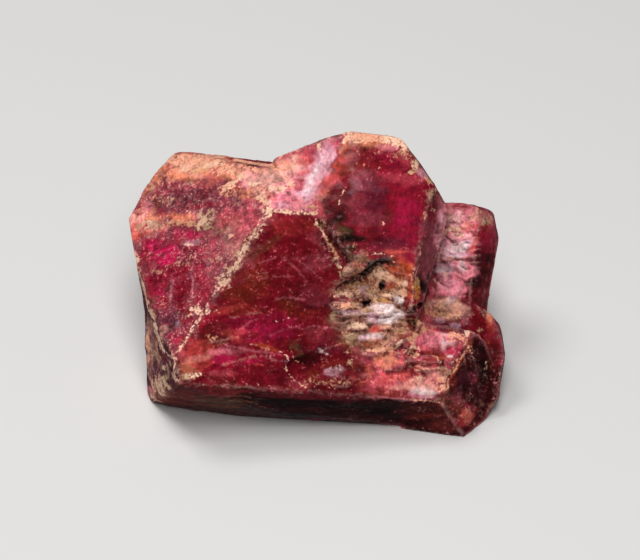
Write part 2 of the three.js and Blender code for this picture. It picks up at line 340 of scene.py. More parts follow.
def fractured(points, size, depth, seed):
    """Small flat facets at random tilts, as where stone has broken."""
    low, high = points.min(0) - size, points.max(0) + size
    cells = np.ceil((high - low) / size).astype(int)
    grid = np.stack(np.meshgrid(*[np.arange(c) for c in cells], indexing="ij"), -1).reshape(-1, 3)
    values = [lattice(grid[:, 0], grid[:, 1], grid[:, 2], seed + c) for c in range(7)]
    seeds = low + (grid + np.stack(values[:3], 1)) * size
    tilt = np.stack(values[3:6], 1) - 0.5
    rise = values[6] - 0.5
    tree = KDTree(len(seeds))
    for index, seed_point in enumerate(seeds.tolist()):
        tree.insert(seed_point, index)
    tree.balance()
    nearest = np.array([tree.find(p)[1] for p in points.tolist()])
    lean = np.einsum("ij,ij->i", points - seeds[nearest], tilt[nearest])
    return depth * (0.5 * rise[nearest] + 2.0 * lean / size)


def ledges(level, spacing, depth, wander):
    """Saw-tooth steps: each comes out slowly and falls back at once."""
    turn = level / spacing + wander
    part = turn - np.floor(turn)
    return depth * (np.minimum(part / LEDGE_RISE, (1 - part) / LEDGE_FALL) - 0.5)


# relief of the side that the list below doesn't reach
BACK_RELIEF = {"eased": 0.15, "broken": 0.55, "steps": 0.3, "crisp": 0.0}

# where the stone is eased round, broken rough or stepped:
# kind, strength, centre across and up, half width, half height (mm), turn if any
RELIEF = (
    # Rounded over or evened out
    ("eased", 0.8, -0.13, -5.18, 2.53, 1.52),
    ("eased", 0.6, 1.01, 4.11, 0.63, 2.15, -15),
    ("eased", 0.8, 9.47, -5.56, 0.88, 2.15, 10),
    ("eased", 0.7, -1.26, -7.83, 9.47, 0.76, -2),
    ("eased", 0.7, 3.47, 9.09, 2.53, 0.51),
    ("eased", 0.7, 5.81, 7.58, 0.38, 1.26, -30),
    ("eased", 0.7, 7.58, 5.68, 0.38, 1.26, -35),
    ("eased", 0.6, 9.79, 4.55, 1.39, 0.63, -15),
    ("eased", 0.6, 10.86, 3.47, 0.51, 0.88),
    ("eased", 0.6, -8.53, 7.83, 2.53, 0.51, -3),
    ("eased", 0.6, -11.37, 5.37, 0.51, 1.64, -30),
    ("eased", 0.6, -3.66, 6.82, 0.63, 0.63),
    ("eased", 0.6, 11.37, -4.42, 0.51, 2.53),
    ("eased", 0.5, -12, 2.84, 0.32, 1.89, 15),
    ("eased", 0.5, -10.74, -7.26, 0.51, 0.88),
    ("eased", 0.5, 9.35, -9.16, 1.26, 0.88),
    # Kept sharp
    ("crisp", 0.8, 3.16, -1.58, 2.78, 2.53),
    # Broken rough
    ("broken", 0.9, -2.02, 5.56, 2.4, 1.39, -6),
    ("broken", 0.7, -7.58, 7.26, 3.16, 0.76, -4),
    ("broken", 0.55, -10.74, 5.68, 0.63, 1.39, -30),
    ("broken", 0.45, -6, 5.37, 1.89, 1.01),
    ("broken", 0.35, -8.21, 5.05, 2.21, 1.01),
    ("broken", 0.35, -6.63, 3.47, 1.64, 1.01),
    ("broken", 0.75, 3.28, -1.26, 2.53, 2.65),
    ("broken", 0.6, 7.96, -1.77, 1.26, 0.88),
    ("broken", 0.55, 6.95, -6.63, 1.39, 1.01),
    ("broken", 0.7, -10.11, -6.63, 1.01, 1.14),
    ("broken", 0.5, -10.48, -3.47, 0.63, 1.89, -8),
    ("broken", 0.45, -8.84, -6.06, 1.01, 0.38),
    ("broken", 0.55, 0.63, -6.32, 1.64, 0.51, -5),
    ("broken", 0.6, 1.01, 1.89, 1.39, 1.26, 20),
    ("broken", 0.35, 9.16, -8.21, 1.26, 1.14),
    ("broken", 0.25, 3.79, -5.37, 1.64, 0.88),
    ("broken", 0.35, -5.05, 1.58, 0.76, 2.53, -35),
    # Stepped
    ("steps", 0.9, 3.16, -2.4, 2.4, 1.64, -2),
    ("steps", 0.5, 4.55, 0, 1.26, 0.88),
    ("steps", 0.8, 8.59, 2.21, 1.39, 2.78, 6),
    ("steps", 0.6, 7.26, -5.18, 1.39, 0.63),
    ("steps", 0.35, -6, -7.71, 3.79, 0.76, -2),
    ("steps", 0.2, 3.16, -7.89, 3.79, 0.51, -4),
)

mesh = skin.data
seen = Survey(mesh)
points, edges, broad, back = seen.points, seen.edges, seen.broad, seen.back
shares = {kind: strength * back for kind, strength in BACK_RELIEF.items()}
for kind, strength, *oval in RELIEF:
    shares[kind] = np.maximum(shares[kind], strength * seen.patch_share(*oval))

# every edge is a little worn, some are rounded right over
worn = spread(points, edges, WORN)
rounded = spread(worn, edges, ROUNDED)
points = points + (worn - points) * (1 - shares["crisp"])[:, None]
points = points + (rounded - points) * shares["eased"][:, None]
edge_wear = smooth_step(*EDGE_BEND, seen.bulge(points, NEARBY))
broken = np.maximum(shares["broken"], EDGE_WEAR * edge_wear)

stretched = points * np.array([0.45, 1, 1])
shift = sum(height * layered(points, size, 2, seed) for height, size, seed in LUMPS)
shift += (SKIN_GRAIN + BROKEN_GRAIN * broken) * layered(stretched, GRAIN_SIZE, 2, 17)
shift += broken * fractured(points, BREAK_SIZE, BREAK_DEPTH, 40)
wander = layered(points, LEDGE_WANDER, 2, 51)
shift += shares["steps"] * ledges(points @ LEDGE_NORMAL, LEDGE_SPACING, LEDGE_DEPTH, wander)
shift += back * fractured(points, BACK_SIZE, BACK_DEPTH, 60)
shift -= CHIP_DEPTH * (smooth_step(*CHIPPED, noise(points, CHIP_SIZE, 23)) * edge_wear)
points = points + broad * (shift * smooth_step(*FLOOR_BAND, points[:, 2]))[:, None]
points[:, 2] = np.maximum(points[:, 2], 0.0)
mesh.vertices.foreach_set("co", (points * MM).astype(np.float32).ravel())
mesh.update()

# the side that is seen least keeps fewer faces
PLAINER_STEPS = 5
PLAINER_PULL = 0.00003

plainer = skin.vertex_groups.new(name="plainer")
for step in range(PLAINER_STEPS):
    chosen = np.nonzero((back > (step - 0.5) / 4) & (back <= (step + 0.5) / 4))[0]
    plainer.add(chosen.tolist(), 0.5 + step / 8, "REPLACE")
mesh.calc_loop_triangles()
triangles = len(mesh.loop_triangles)
if triangles > MOST_TRIANGLES:
    apply_modifier(
        skin,
        "DECIMATE",
        ratio=MOST_TRIANGLES / triangles,
        use_collapse_triangulate=True,
        vertex_group="plainer",
        vertex_group_factor=PLAINER_PULL,
    )
skin.vertex_groups.clear()
select_only(skin)
bpy.ops.object.shade_smooth()

# ---- colour of the stone ------------------------------------------------------------------------

# paints by name; white and lavender are also laid as painted highlights and sheen, black, wine,
# maroon, plum and olive also as painted shade
PAINT = {
    "crust": "#f0a888",
    "cream": "#f2c6a8",
    "white": "#fbe2e0",
    "lavender": "#eebccc",
    "wedge": "#b8a09c",
    "pink": "#ea8492",
    "salmon": "#e48a68",
    "coral": "#da5448",
    "orange": "#c85428",
    "rust": "#6e2212",
    "brick": "#80241c",
    "crimson": "#8e102a",
    "ruby": "#680a16",
    "magenta": "#a0143e",
    "glow": "#c41850",
    "rose": "#b84a56",
    "dusky": "#7c363e",
    "haze": "#8a3642",
    "plum": "#561c2e",
    "wine": "#38060a",
    "maroon": "#501210",
    "black": "#0c0303",
    "olive": "#6e4e30",
    "tan": "#c08c68",
    "khaki": "#a88668",
    "gold": "#c8862c",
    "umber": "#8a5c46",
    "fawn": "#b88878",
    "blush": "#eca898",
}

# these break into grains at their rims
CRUMBLING = ("crust", "cream", "wedge", "khaki", "tan", "gold")

# each face: its colour, how much pale grain lies on it and how crushed it is
FACE_PAINT = {
    # tall: haze, partly a painted reflection
    "tall": ("haze", 0.16, 0.85),
    "front": ("ruby", 0.04, 0.25),
    # undercut and steep: dark maroon and wine, painted shade under the overhang
    "undercut": ("maroon", 0.0, 0.1),
    "steep": ("wine", 0.0, 0.2),
    "low": ("plum", 0.25, 0.6),
    "end": ("plum", 0.2, 0.5),
    "bevel": ("crust", 0.2, 0.5),
    "shelf": ("pink", 0.35, 0.9),
    "upper": ("crimson", 0.0, 0.12),
    "pink": ("rose", 0.05, 0.2),
    # valley: maroon, painted shade in the re-entrant corner, with rust
    "valley": ("maroon", 0.06, 0.6),
    "dusky": ("dusky", 0.08, 0.2),
    "rim": ("crust", 0.1, 0.4),
    "shoulder": ("tan", 0.2, 0.5),
    "strip": ("pink", 0.15, 0.5),
    "red": ("ruby", 0.0, 0.12),
    "cap": ("rose", 0.25, 0.5),
    "top": ("rose", 0.25, 0.6),
    "block": ("rose", 0.2, 0.6),
    # side and foot: wine, painted shade of the sides turned from the light
    "side": ("wine", 0.02, 0.4),
    "foot": ("wine", 0.02, 0.4),
    "fin": ("ruby", 0.02, 0.3),
}

# clouds of the same reds on the sides that the front view misses:
# paint, strength, size (mm), which side of the noise, where it starts and is full, seed
CLOUDS = (
    ("haze", 1.0, 4.5, 1, 0.0, 0.6, 200),
    ("wine", 1.0, 4.5, -1, 0.1, 0.7, 200),
    ("rose", 0.8, 2.6, 1, 0.25, 0.7, 210),
    ("brick", 0.8, 2.6, -1, 0.35, 0.8, 210),
    ("crust", 0.8, 1.8, 1, 0.45, 0.9, 220),
)
BACK_GRAINS, BACK_CRUSHED = 0.1, 0.5  # there: how much pale grain, how crushed

LARGE = 0.3  # mm, half size from which an oval's rim wanders far
LOOSE, TIGHT = 0.38, 0.06  # mm that rims wander

# painted list: paint, strength, centre across and up, half width, half height (mm), turn if any
PATCHES = (
    # Washes over whole faces
    ("haze", 0.85, -7.89, 3.47, 3.92, 3.92),
    ("crimson", 0.55, -9.35, 1.14, 2.27, 2.4),
    ("rose", 0.35, -5.05, 3.79, 1.01, 0.88),
    ("blush", 0.25, -5.18, 2.65, 1.26, 1.64, 30),
    ("ruby", 0.5, -7.58, -1.26, 1.89, 2.15, -20),
    ("salmon", 0.5, -10.86, 3.66, 1.14, 0.88),
    ("coral", 0.5, -11.75, 3.47, 0.44, 1.26, -12),
    ("rose", 0.8, -4.74, 4.11, 1.39, 1.52, 30),
    ("crimson", 0.9, -8.84, -0.44, 2.27, 1.39),
    ("ruby", 0.6, -8.72, -1.01, 0.76, 0.88),
    ("crimson", 0.7, -9.35, -0.51, 1.64, 1.01),
    ("wine", 0.3, -9.35, -0.51, 1.52, 0.88),
    ("plum", 0.6, -9.09, -3.03, 1.14, 1.26, -30),
    ("ruby", 0.95, -1.89, 1.14, 3.28, 2.65, -25),
    ("brick", 0.75, -1.77, 3.54, 1.89, 0.63, -8),
    ("ruby", 0.7, -1.26, -2.53, 3.79, 1.39),
    ("crimson", 0.6, -7.58, -2.65, 1.01, 1.39, -30),
    ("crimson", 0.5, -8.21, -4.11, 0.88, 1.01),
    ("rust", 0.6, -4.55, -0.44, 1.39, 1.01, 15),
    ("wine", 0.75, -0.95, -1.26, 1.64, 0.88),
    ("wine", 0.5, 0.63, 2.53, 0.88, 1.39, -20),
    ("ruby", 0.7, -0.13, 0.13, 1.39, 1.26),
    ("magenta", 0.45, -3.92, -3.03, 2.78, 0.95, 4),
    ("ruby", 0.5, -3.92, -3.03, 1.89, 0.51, 4),
    ("crimson", 0.8, -4.42, -5.18, 2.65, 1.14),
    ("ruby", 0.8, -3.41, -5.68, 1.64, 0.82),
    ("magenta", 0.2, -4.42, -5.18, 1.89, 0.63),
    ("ruby", 0.75, -1.26, -6, 3.16, 0.88),
    ("crimson", 0.8, -3.03, -5.43, 1.64, 0.95),
    ("ruby", 0.7, -3.66, -5.56, 2.15, 0.88),
    ("wine", 0.25, -3.66, -5.56, 2.15, 0.88),
    ("ruby", 0.95, 4.74, 4.74, 2.91, 3.54, -15),
    ("crimson", 0.7, 5.37, 6, 1.64, 1.89),
    ("magenta", 0.4, 5.68, 3.28, 1.26, 1.39),
    ("plum", 0.55, 4.55, 2.02, 1.77, 0.88, -10),
    ("wine", 0.8, 1.52, 6, 0.63, 1.89, 12),
    # Crust along the top left outline
    ("salmon", 0.9, -7.89, 7.33, 2.91, 1.01, -6),
    ("salmon", 0.8, -10.74, 6.06, 0.63, 1.39, -35),
    ("blush", 0.6, -8.21, 7.45, 2.15, 0.63, -4),
    ("crust", 0.75, -8.21, 7.52, 2.27, 0.57, -4),
    ("orange", 0.35, -9.09, 6.69, 0.76, 0.25, -4),
    ("orange", 0.3, -6.82, 6.51, 0.88, 0.25, -10),
    ("crust", 0.55, -6.19, 7.01, 1.26, 0.57, -18),
    ("cream", 0.6, -6.63, 7.26, 0.88, 0.32, -8),
    ("cream", 0.5, -8.21, 7.07, 0.63, 0.25),
    ("salmon", 0.6, -8.97, 6.76, 1.01, 0.32, -4),
    ("salmon", 0.6, -6, 6.32, 0.51, 0.32),
    ("cream", 0.7, -6, 5.94, 0.38, 0.32),
    ("khaki", 0.6, -10.93, 5.68, 0.51, 0.38, -20),
    ("rust", 0.6, -7.89, 6.32, 1.01, 0.19, -2),
    ("rose", 0.5, -7.26, 6.32, 0.88, 0.32),
    ("coral", 0.6, -9.6, 7.14, 0.38, 0.38),
    ("rose", 0.45, -8.21, 7.14, 0.44, 0.25),
    ("gold", 0.3, -7.58, 6.95, 0.76, 0.25),
    ("rose", 0.35, -6.69, 6.82, 0.51, 0.25),
    ("crust", 0.5, -5.81, 5.68, 0.63, 0.38),
    ("orange", 0.3, -5.56, 5.56, 0.38, 0.25),
    ("coral", 0.35, -5.18, 5.87, 0.38, 0.25),
    ("coral", 0.3, -11.31, 4.17, 0.57, 0.57),
    # Hazy middle of the tall face; the haze is partly a painted reflection, the lavender marks
    # painted highlights
    ("rose", 0.5, -9.16, 5.87, 1.14, 0.38),
    ("plum", 0.5, -8.53, 5.49, 1.52, 0.44, -4),
    ("ruby", 0.7, -7.39, 5.62, 0.32, 0.32),
    ("ruby", 0.5, -8.46, 5.05, 1.14, 0.32, -5),
    ("crimson", 0.8, -7.71, 4.86, 0.88, 0.32, -4),
    ("maroon", 0.7, -10.55, 4.74, 0.44, 0.44),
    ("crimson", 0.8, -10.04, 4.29, 0.32, 0.25),
    ("blush", 0.8, -11.68, 3.92, 0.32, 0.63, -8),
    ("salmon", 0.5, -11.37, 4.29, 0.51, 0.38, -8),
    ("coral", 0.8, -11.81, 2.91, 0.32, 0.57, -15),
    ("pink", 0.5, -10.99, 4.55, 0.38, 0.38),
    ("khaki", 0.8, -10.86, 3.41, 0.44, 0.57),
    ("fawn", 0.4, -10.93, 3.41, 0.44, 0.57),
    ("cream", 0.35, -10.99, 3.54, 0.25, 0.38),
    ("cream", 0.4, -10.93, 3.85, 0.44, 0.25),
    ("salmon", 0.85, -9.6, 3.92, 1.52, 0.38, -6),
    ("orange", 0.3, -9.35, 4.04, 0.88, 0.19, -6),
    ("rose", 0.35, -8.34, 4.23, 0.88, 0.38),
    ("cream", 0.25, -8.21, 4.36, 0.63, 0.19, -10),
    ("tan", 0.6, -8.84, 3.54, 1.26, 0.25),
    ("khaki", 0.7, -7.14, 3.73, 0.88, 0.76, -10),
    ("cream", 0.35, -7.58, 3.66, 0.38, 0.63, -20),
    ("plum", 0.45, -6.32, 4.86, 0.88, 0.51, -10),
    ("khaki", 0.45, -5.18, 5.05, 0.51, 0.51),
    ("olive", 0.4, -5.94, 3.41, 0.63, 0.63),
    ("maroon", 0.5, -5.05, 5.68, 0.57, 0.38),
    ("khaki", 0.4, -9.92, 5.05, 0.51, 0.51),
    ("haze", 0.5, -9.79, 3.03, 1.26, 0.38),
    ("magenta", 0.7, -8.21, 2.84, 0.95, 0.25, -4),
    ("magenta", 0.9, -9.98, 1.89, 0.95, 0.88, 20),
    ("glow", 0.9, -9.92, 1.77, 0.57, 0.69, 10),
    ("glow", 0.7, -10.23, 2.53, 0.32, 0.32),
    ("lavender", 0.3, -8.15, 2.34, 0.63, 0.14, 8),
    ("cream", 0.4, -8.27, 2.27, 0.57, 0.1, 8),
    ("khaki", 0.3, -7.26, 2.53, 0.51, 0.25),
    ("plum", 0.5, -8.46, 1.64, 0.88, 0.51),
    ("magenta", 0.5, -7.77, 1.83, 0.44, 0.32),
    ("crimson", 0.6, -11.12, 2.4, 0.51, 0.51),
    ("crimson", 0.8, -10.93, 1.52, 0.57, 0.57),
    ("brick", 0.6, -11.31, 0.95, 0.32, 0.51, -15),
    ("cream", 0.6, -11.56, 1.33, 0.25, 0.19),
    ("rose", 0.5, -6.63, 1.89, 0.76, 0.88),
    ("khaki", 0.3, -8.84, 1.14, 0.88, 0.38),
    ("khaki", 0.4, -10.42, 0.57, 0.69, 0.16, -4),
    ("glow", 0.4, -9.98, 1.14, 0.38, 0.25),
    ("magenta", 0.4, -7.52, 0.25, 0.38, 0.88, -8),
    ("rose", 0.4, -6.82, 0.32, 0.51, 1.14, -30),
    ("glow", 0.4, -10.42, -0.95, 0.32, 0.44, -15),
    ("brick", 0.5, -10.61, -1.26, 0.25, 0.51, -10),
    ("lavender", 0.4, -8.97, -2.84, 0.51, 0.32, -25),
    ("plum", 0.6, -9.6, -2.27, 0.51, 0.63),
    ("brick", 0.5, -8.4, -2.21, 0.32, 0.88, -20),
    ("cream", 0.5, -7.64, -1.96, 0.38, 0.32),
    ("magenta", 0.5, -9.09, -3.79, 0.57, 0.38, -30),
    ("rose", 0.6, -8.84, -4.42, 0.38, 0.32),
    ("rose", 0.5, -4.42, 3.79, 0.63, 0.63),
    ("cream", 0.5, -5.62, 2.78, 0.19, 0.25, -30),
    ("khaki", 0.4, -6.32, 1.58, 0.38, 0.51),
    ("crimson", 0.4, -5.68, 4.11, 0.51, 0.38),
    # Pale broken shelf between the two crystals
    ("pink", 0.8, -3.66, 6.32, 1.52, 0.76, -8),
    ("blush", 0.6, -3.92, 6.44, 1.01, 0.38, -8),
    ("blush", 0.6, -4.42, 6.82, 0.88, 0.32, -8),
    ("cream", 0.9, -3.66, 5.94, 0.88, 0.25, -8),
    ("cream", 0.8, -5.31, 6.44, 0.51, 0.32, -10),
    ("cream", 0.9, -2.15, 6.25, 0.51, 0.44, -10),
    ("cream", 0.6, -2.65, 5.68, 0.51, 0.25),
    ("gold", 0.35, -1.77, 5.94, 0.25, 0.25),
    ("orange", 0.7, -4.04, 5.43, 0.69, 0.51),
    ("blush", 0.75, -3.6, 5.31, 0.63, 0.38),
    ("salmon", 0.6, -3.66, 5.68, 0.76, 0.38),
    ("cream", 0.9, -3.66, 5.31, 0.25, 0.25),
    ("orange", 0.5, -3.16, 5.37, 0.44, 0.25, -10),
    ("crust", 0.5, -3.54, 5.24, 0.63, 0.32),
    ("gold", 0.35, -4.04, 5.31, 0.51, 0.32),
    ("cream", 0.55, -3.6, 5.37, 0.76, 0.44),
    ("coral", 0.35, -4.17, 5.49, 0.44, 0.25),
    ("salmon", 0.5, -3.92, 5.62, 0.76, 0.38),
    ("blush", 0.4, -3.66, 5.68, 0.76, 0.25, -10),
    ("salmon", 0.6, -4.67, 5.56, 0.32, 0.32),
    ("pink", 0.85, -1.89, 4.86, 1.39, 0.57, -4),
    ("magenta", 0.3, -2.21, 5.18, 1.01, 0.25),
    ("lavender", 0.4, -2.34, 4.74, 0.38, 0.25),
    ("cream", 0.7, -1.89, 4.29, 1.77, 0.19, -4),
    ("cream", 0.8, -3.28, 4.55, 0.32, 0.44, -30),
    ("tan", 0.3, -0.88, 4.42, 0.51, 0.32),
    ("crimson", 0.5, -1.26, 5.37, 0.25, 0.63, -20),
    # Pink flank of the upper crystal, with a painted sheen in blush, lavender and white
    ("blush", 0.95, -2.27, 7.07, 1.52, 0.76, 22),
    ("blush", 0.6, -2.59, 6.82, 0.76, 0.44, 10),
    ("salmon", 0.5, -2.65, 7.26, 0.76, 0.32, 20),
    ("pink", 0.5, -1.77, 6.57, 0.88, 0.51, 20),
    ("crimson", 0.6, -0.88, 7.77, 0.57, 0.57, 20),
    ("coral", 0.4, -1.01, 7.07, 0.44, 0.88, -20),
    ("rose", 0.4, -1.26, 6.57, 0.44, 1.14, -25),
    ("glow", 0.3, -1.2, 6.06, 0.32, 0.63, -25),
    ("pink", 0.3, -0.38, 7.26, 0.32, 0.63, -20),
    ("cream", 0.8, -0.06, 8.34, 0.22, 0.38, 15),
    ("rose", 0.6, 0.82, 8.53, 0.63, 0.57),
    ("magenta", 0.5, 1.01, 8.4, 0.63, 0.51),
    ("magenta", 0.4, 0.63, 8.65, 0.51, 0.38),
    ("pink", 0.5, -0.57, 6.32, 0.32, 1.14, -30),
    ("blush", 0.7, -0.13, 6.69, 0.57, 1.58, -28),
    ("lavender", 0.4, 0, 6.82, 0.44, 1.39, -28),
    ("lavender", 0.8, -0.76, 5.43, 0.44, 0.51, -30),
    ("lavender", 0.6, 0.69, 7.71, 0.38, 0.51, -20),
    ("rose", 0.55, 0.76, 8.53, 0.76, 0.44),
    ("magenta", 0.4, 1.01, 8.46, 0.57, 0.44),
    ("tan", 0.35, -0.76, 4.74, 0.51, 0.38, -30),
    ("cream", 0.3, -0.51, 4.93, 0.38, 0.25, -30),
    # Coral strip and dark shoulder beside it
    ("coral", 0.95, 0.88, 6.32, 0.38, 1.39, -28),
    ("crimson", 0.4, 1.14, 6.57, 0.25, 0.88, -28),
    ("salmon", 0.4, 0.51, 5.56, 0.25, 0.51, -28),
    ("coral", 0.6, 1.26, 7.45, 0.25, 0.57, -20),
    ("salmon", 0.7, 0.25, 5.24, 0.32, 0.32),
    ("rust", 0.7, 1.64, 7.2, 0.38, 0.88, -12),
    ("maroon", 0.7, 1.26, 5.68, 0.51, 0.88, -22),
    ("maroon", 0.85, 0.82, 4.61, 0.44, 1.26, -38),
    ("wine", 0.6, 1.01, 3.41, 0.57, 1.39, -10),
    # Cream rim along the top
    ("cream", 0.95, 2.15, 8.91, 0.76, 0.44),
    ("crust", 0.9, 3.28, 8.97, 1.64, 0.38),
    ("cream", 0.8, 4.74, 8.72, 0.76, 0.38, -15),
    ("salmon", 0.8, 3.47, 8.46, 1.01, 0.25, -4),
    ("salmon", 0.7, 2.02, 8.21, 0.51, 0.51, -50),
    ("pink", 0.6, 4.29, 8.34, 0.76, 0.25),
    ("tan", 0.8, 5.49, 8.02, 0.32, 0.57, -30),
    ("cream", 0.85, 5.94, 7.2, 0.25, 0.57, -35),
    ("tan", 0.7, 5.56, 7.07, 0.32, 0.51, -40),
    ("rust", 0.5, 5.24, 7.71, 0.32, 0.44, -20),
    ("tan", 0.6, 6.88, 6.25, 0.38, 0.25, -40),
    ("lavender", 0.3, 6.44, 6.76, 0.51, 0.25, -40),
    ("khaki", 0.5, 7.14, 5.43, 0.25, 0.57, -15),
    ("cream", 0.8, 7.07, 4.42, 0.19, 0.13, -10),
    # Glassy face of the upper crystal; the haze and lavender ovals on it are a painted reflection
    ("rust", 0.9, 2.91, 7.77, 1.01, 0.51, 10),
    ("ruby", 0.8, 3.41, 7.58, 1.26, 0.51),
    ("rust", 0.4, 2.53, 7.2, 0.63, 0.88, 12),
    ("brick", 0.6, 2.65, 7.77, 0.82, 0.57),
    ("ruby", 0.4, 2.78, 7.83, 0.88, 0.57),
    ("rust", 0.5, 3.16, 8.21, 0.63, 0.25),
    ("glow", 0.3, 4.11, 7.83, 0.88, 0.38, -8),
    ("crimson", 0.6, 4.55, 7.26, 0.76, 0.44),
    ("lavender", 0.14, 2.65, 6.32, 0.69, 0.76, -50),
    ("haze", 0.6, 3.28, 6.44, 0.88, 0.76),
    ("haze", 0.55, 2.53, 4.74, 0.44, 1.52, 4),
    ("lavender", 0.15, 2.15, 5.81, 0.32, 0.76),
    ("plum", 0.5, 3.28, 5.05, 0.63, 1.52),
    ("rose", 0.3, 4.67, 6.57, 0.63, 0.44),
    ("rose", 0.35, 5.56, 6.19, 0.63, 0.44),
    ("glow", 0.25, 5.56, 4.11, 1.01, 0.88),
    ("ruby", 0.5, 4.17, 5.81, 0.44, 0.63, -30),
    ("rust", 0.5, 4.29, 4.17, 0.19, 0.32),
    ("cream", 0.5, 3.98, 3.47, 0.13, 0.19),
    ("haze", 0.4, 3.28, 3.79, 1.01, 0.51, -10),
    ("ruby", 0.5, 6.63, 4.55, 0.44, 0.57),
    ("haze", 0.55, 5.18, 1.39, 0.88, 0.38, -20),
    ("wine", 0.4, 3.28, 2.53, 0.88, 0.51, -10),
    # Narrow dusky facet at its right
    ("dusky", 0.85, 7.14, 1.89, 0.63, 1.64, -12),
    ("plum", 0.4, 7.33, 2.53, 0.38, 0.63, -10),
    ("plum", 0.5, 7.07, 3.28, 0.63, 0.32, -10),
    # Dark valley: painted shade in the re-entrant corner, with rust
    ("maroon", 0.8, 1.01, 3.92, 0.95, 1.64, 12),
    ("wine", 0.75, 1.26, 3.47, 0.76, 1.26, 8),
    ("rust", 0.5, 0.25, 4.11, 0.38, 0.63, 20),
    ("rust", 0.5, 1.01, 2.02, 0.51, 0.44),
    ("black", 0.8, 1.45, 3.66, 0.38, 0.38),
    ("maroon", 0.85, 1.89, 2.4, 0.69, 1.26),
    ("black", 0.9, 1.89, 2.53, 0.51, 0.95),
    ("olive", 0.6, 1.64, 3.03, 0.44, 0.38),
    ("black", 0.7, 2.4, 1.52, 0.38, 0.38),
    ("olive", 0.55, 2.02, 1.89, 0.32, 0.51),
    ("maroon", 0.6, 2.78, 2.15, 0.51, 0.38),
    ("khaki", 0.5, 2.15, 2.08, 0.19, 0.25),
    ("brick", 0.6, 2.78, 1.77, 0.44, 0.25),
    # Khaki lip over the pit
    ("umber", 0.9, 2.27, 1.01, 0.88, 0.69, 30),
    ("khaki", 0.4, 2.4, 0.76, 0.69, 0.44, 30),
    ("olive", 0.4, 2.27, 1.14, 0.76, 0.38, 20),
    ("olive", 0.4, 1.89, 1.39, 0.51, 0.38),
    ("tan", 0.4, 2.02, 1.14, 0.38, 0.32),
    # black here: painted shade of the deep corner above the lip
    ("black", 0.6, 1.96, 2.27, 0.57, 0.82),
    ("maroon", 0.4, 2.27, 1.07, 0.57, 0.32, 20),
    ("black", 0.5, 2.02, 1.39, 0.38, 0.38),
    ("lavender", 0.35, 1.89, 0.51, 0.44, 0.32, 30),
    ("olive", 0.5, 2.65, 1.39, 0.38, 0.25),
    ("brick", 0.4, 1.39, 0.63, 0.25, 0.51, 20),
    # Speckled ridge running down from the shelf
    ("khaki", 0.45, 0.13, 3.41, 0.38, 0.51, -25),
    ("rose", 0.3, -0.13, 2.84, 0.63, 0.63),
    ("haze", 0.55, -0.38, 1.14, 0.82, 0.88),
    ("haze", 0.5, -0.25, -1.07, 1.01, 0.51, 10),
    ("rust", 0.4, 2.02, 8.08, 0.88, 0.38),
    ("olive", 0.25, -3.28, 2.21, 1.39, 0.25, 35),
    ("brick", 0.5, -4.11, 1.14, 0.76, 0.38, 45),
    # Middle and foot of the front face
    ("ruby", 0.5, -1.89, 2.34, 1.52, 0.51, 20),
    ("brick", 0.5, -4.67, -2.02, 1.26, 0.51),
    ("rust", 0.5, -2.02, -1.77, 0.63, 0.51),
    ("rust", 0.4, -0.88, -2.27, 0.88, 0.32),
    ("glow", 0.35, -3.66, -3.16, 1.89, 0.38),
    ("maroon", 0.7, -6.69, -3.47, 1.14, 0.57, -4),
    ("tan", 0.45, -6.88, -3.66, 0.51, 0.25),
    ("coral", 0.25, -6, -1.89, 1.01, 0.25, 15),
    ("coral", 0.3, -5.37, -3.47, 0.76, 0.38),
    ("coral", 0.35, -7.58, -4.55, 1.39, 0.63, 10),
    ("salmon", 0.35, -8.46, -5.43, 0.76, 0.57, 20),
    ("coral", 0.3, -7.2, -5.18, 0.88, 0.32),
    ("blush", 0.25, -7.71, -4.93, 1.01, 0.25, 8),
    ("pink", 0.45, -5.18, -4.42, 0.88, 0.32, 4),
    ("pink", 0.4, -6.57, -4.55, 0.57, 0.19),
    ("glow", 0.35, -5.18, -5.05, 1.14, 0.32, -4),
    ("rose", 0.4, -6.32, -6.06, 1.01, 0.38),
    ("ruby", 0.6, -3.66, -4.42, 0.88, 0.25, -12),
    ("orange", 0.35, -3.41, -4.23, 0.88, 0.16, -16),
    ("wine", 0.5, -2.21, -5.94, 0.51, 0.76),
    # Tan corner at the bottom left
    ("khaki", 0.7, -8.84, -6.06, 0.44, 0.32),
    ("cream", 0.5, -8.08, -6, 0.57, 0.22, 6),
    ("khaki", 0.5, -8.97, -5.56, 0.19, 0.44),
    # Dark scar
    ("wine", 0.95, -0.88, -4.86, 1.26, 0.82),
    ("black", 0.75, -1.01, -4.86, 0.88, 0.44),
    ("wine", 0.6, -0.13, -4.93, 1.39, 0.69),
    ("olive", 0.4, -1.45, -4.42, 0.32, 0.32),
    ("ruby", 0.85, 0.82, -5.18, 0.76, 0.57),
    ("brick", 0.5, 1.01, -5.31, 0.51, 0.32, 20),
    ("plum", 0.6, 0.63, -4.29, 0.76, 0.38),
    ("haze", 0.35, 0.13, -3.47, 1.01, 0.44),
    ("rust", 0.6, -0.13, -5.94, 0.63, 0.32),
    ("tan", 0.4, -0.51, -6.44, 0.63, 0.25),
    # Grey wedge and tan bottom edge
    ("wedge", 0.5, 1.26, -5.68, 0.44, 0.38, 30),
    ("lavender", 0.4, 1.14, -5.94, 0.44, 0.32, 20),
    ("khaki", 0.7, 1.89, -5.31, 0.25, 0.44, 10),
    ("tan", 0.35, 0.51, -6.57, 0.76, 0.32, -12),
    ("khaki", 0.35, 1.58, -6.57, 0.51, 0.25),
    ("crust", 0.3, 1.58, -6.95, 1.52, 0.19, -4),
    ("haze", 0.5, -1.26, -6.57, 0.88, 0.25, -10),
    # Right end of the front face
    ("maroon", 0.85, 2.59, -5.75, 0.76, 0.69),
    ("brick", 0.5, 2.65, -5.43, 0.51, 0.32),
    ("maroon", 0.5, 2.02, -4.93, 0.51, 0.32),
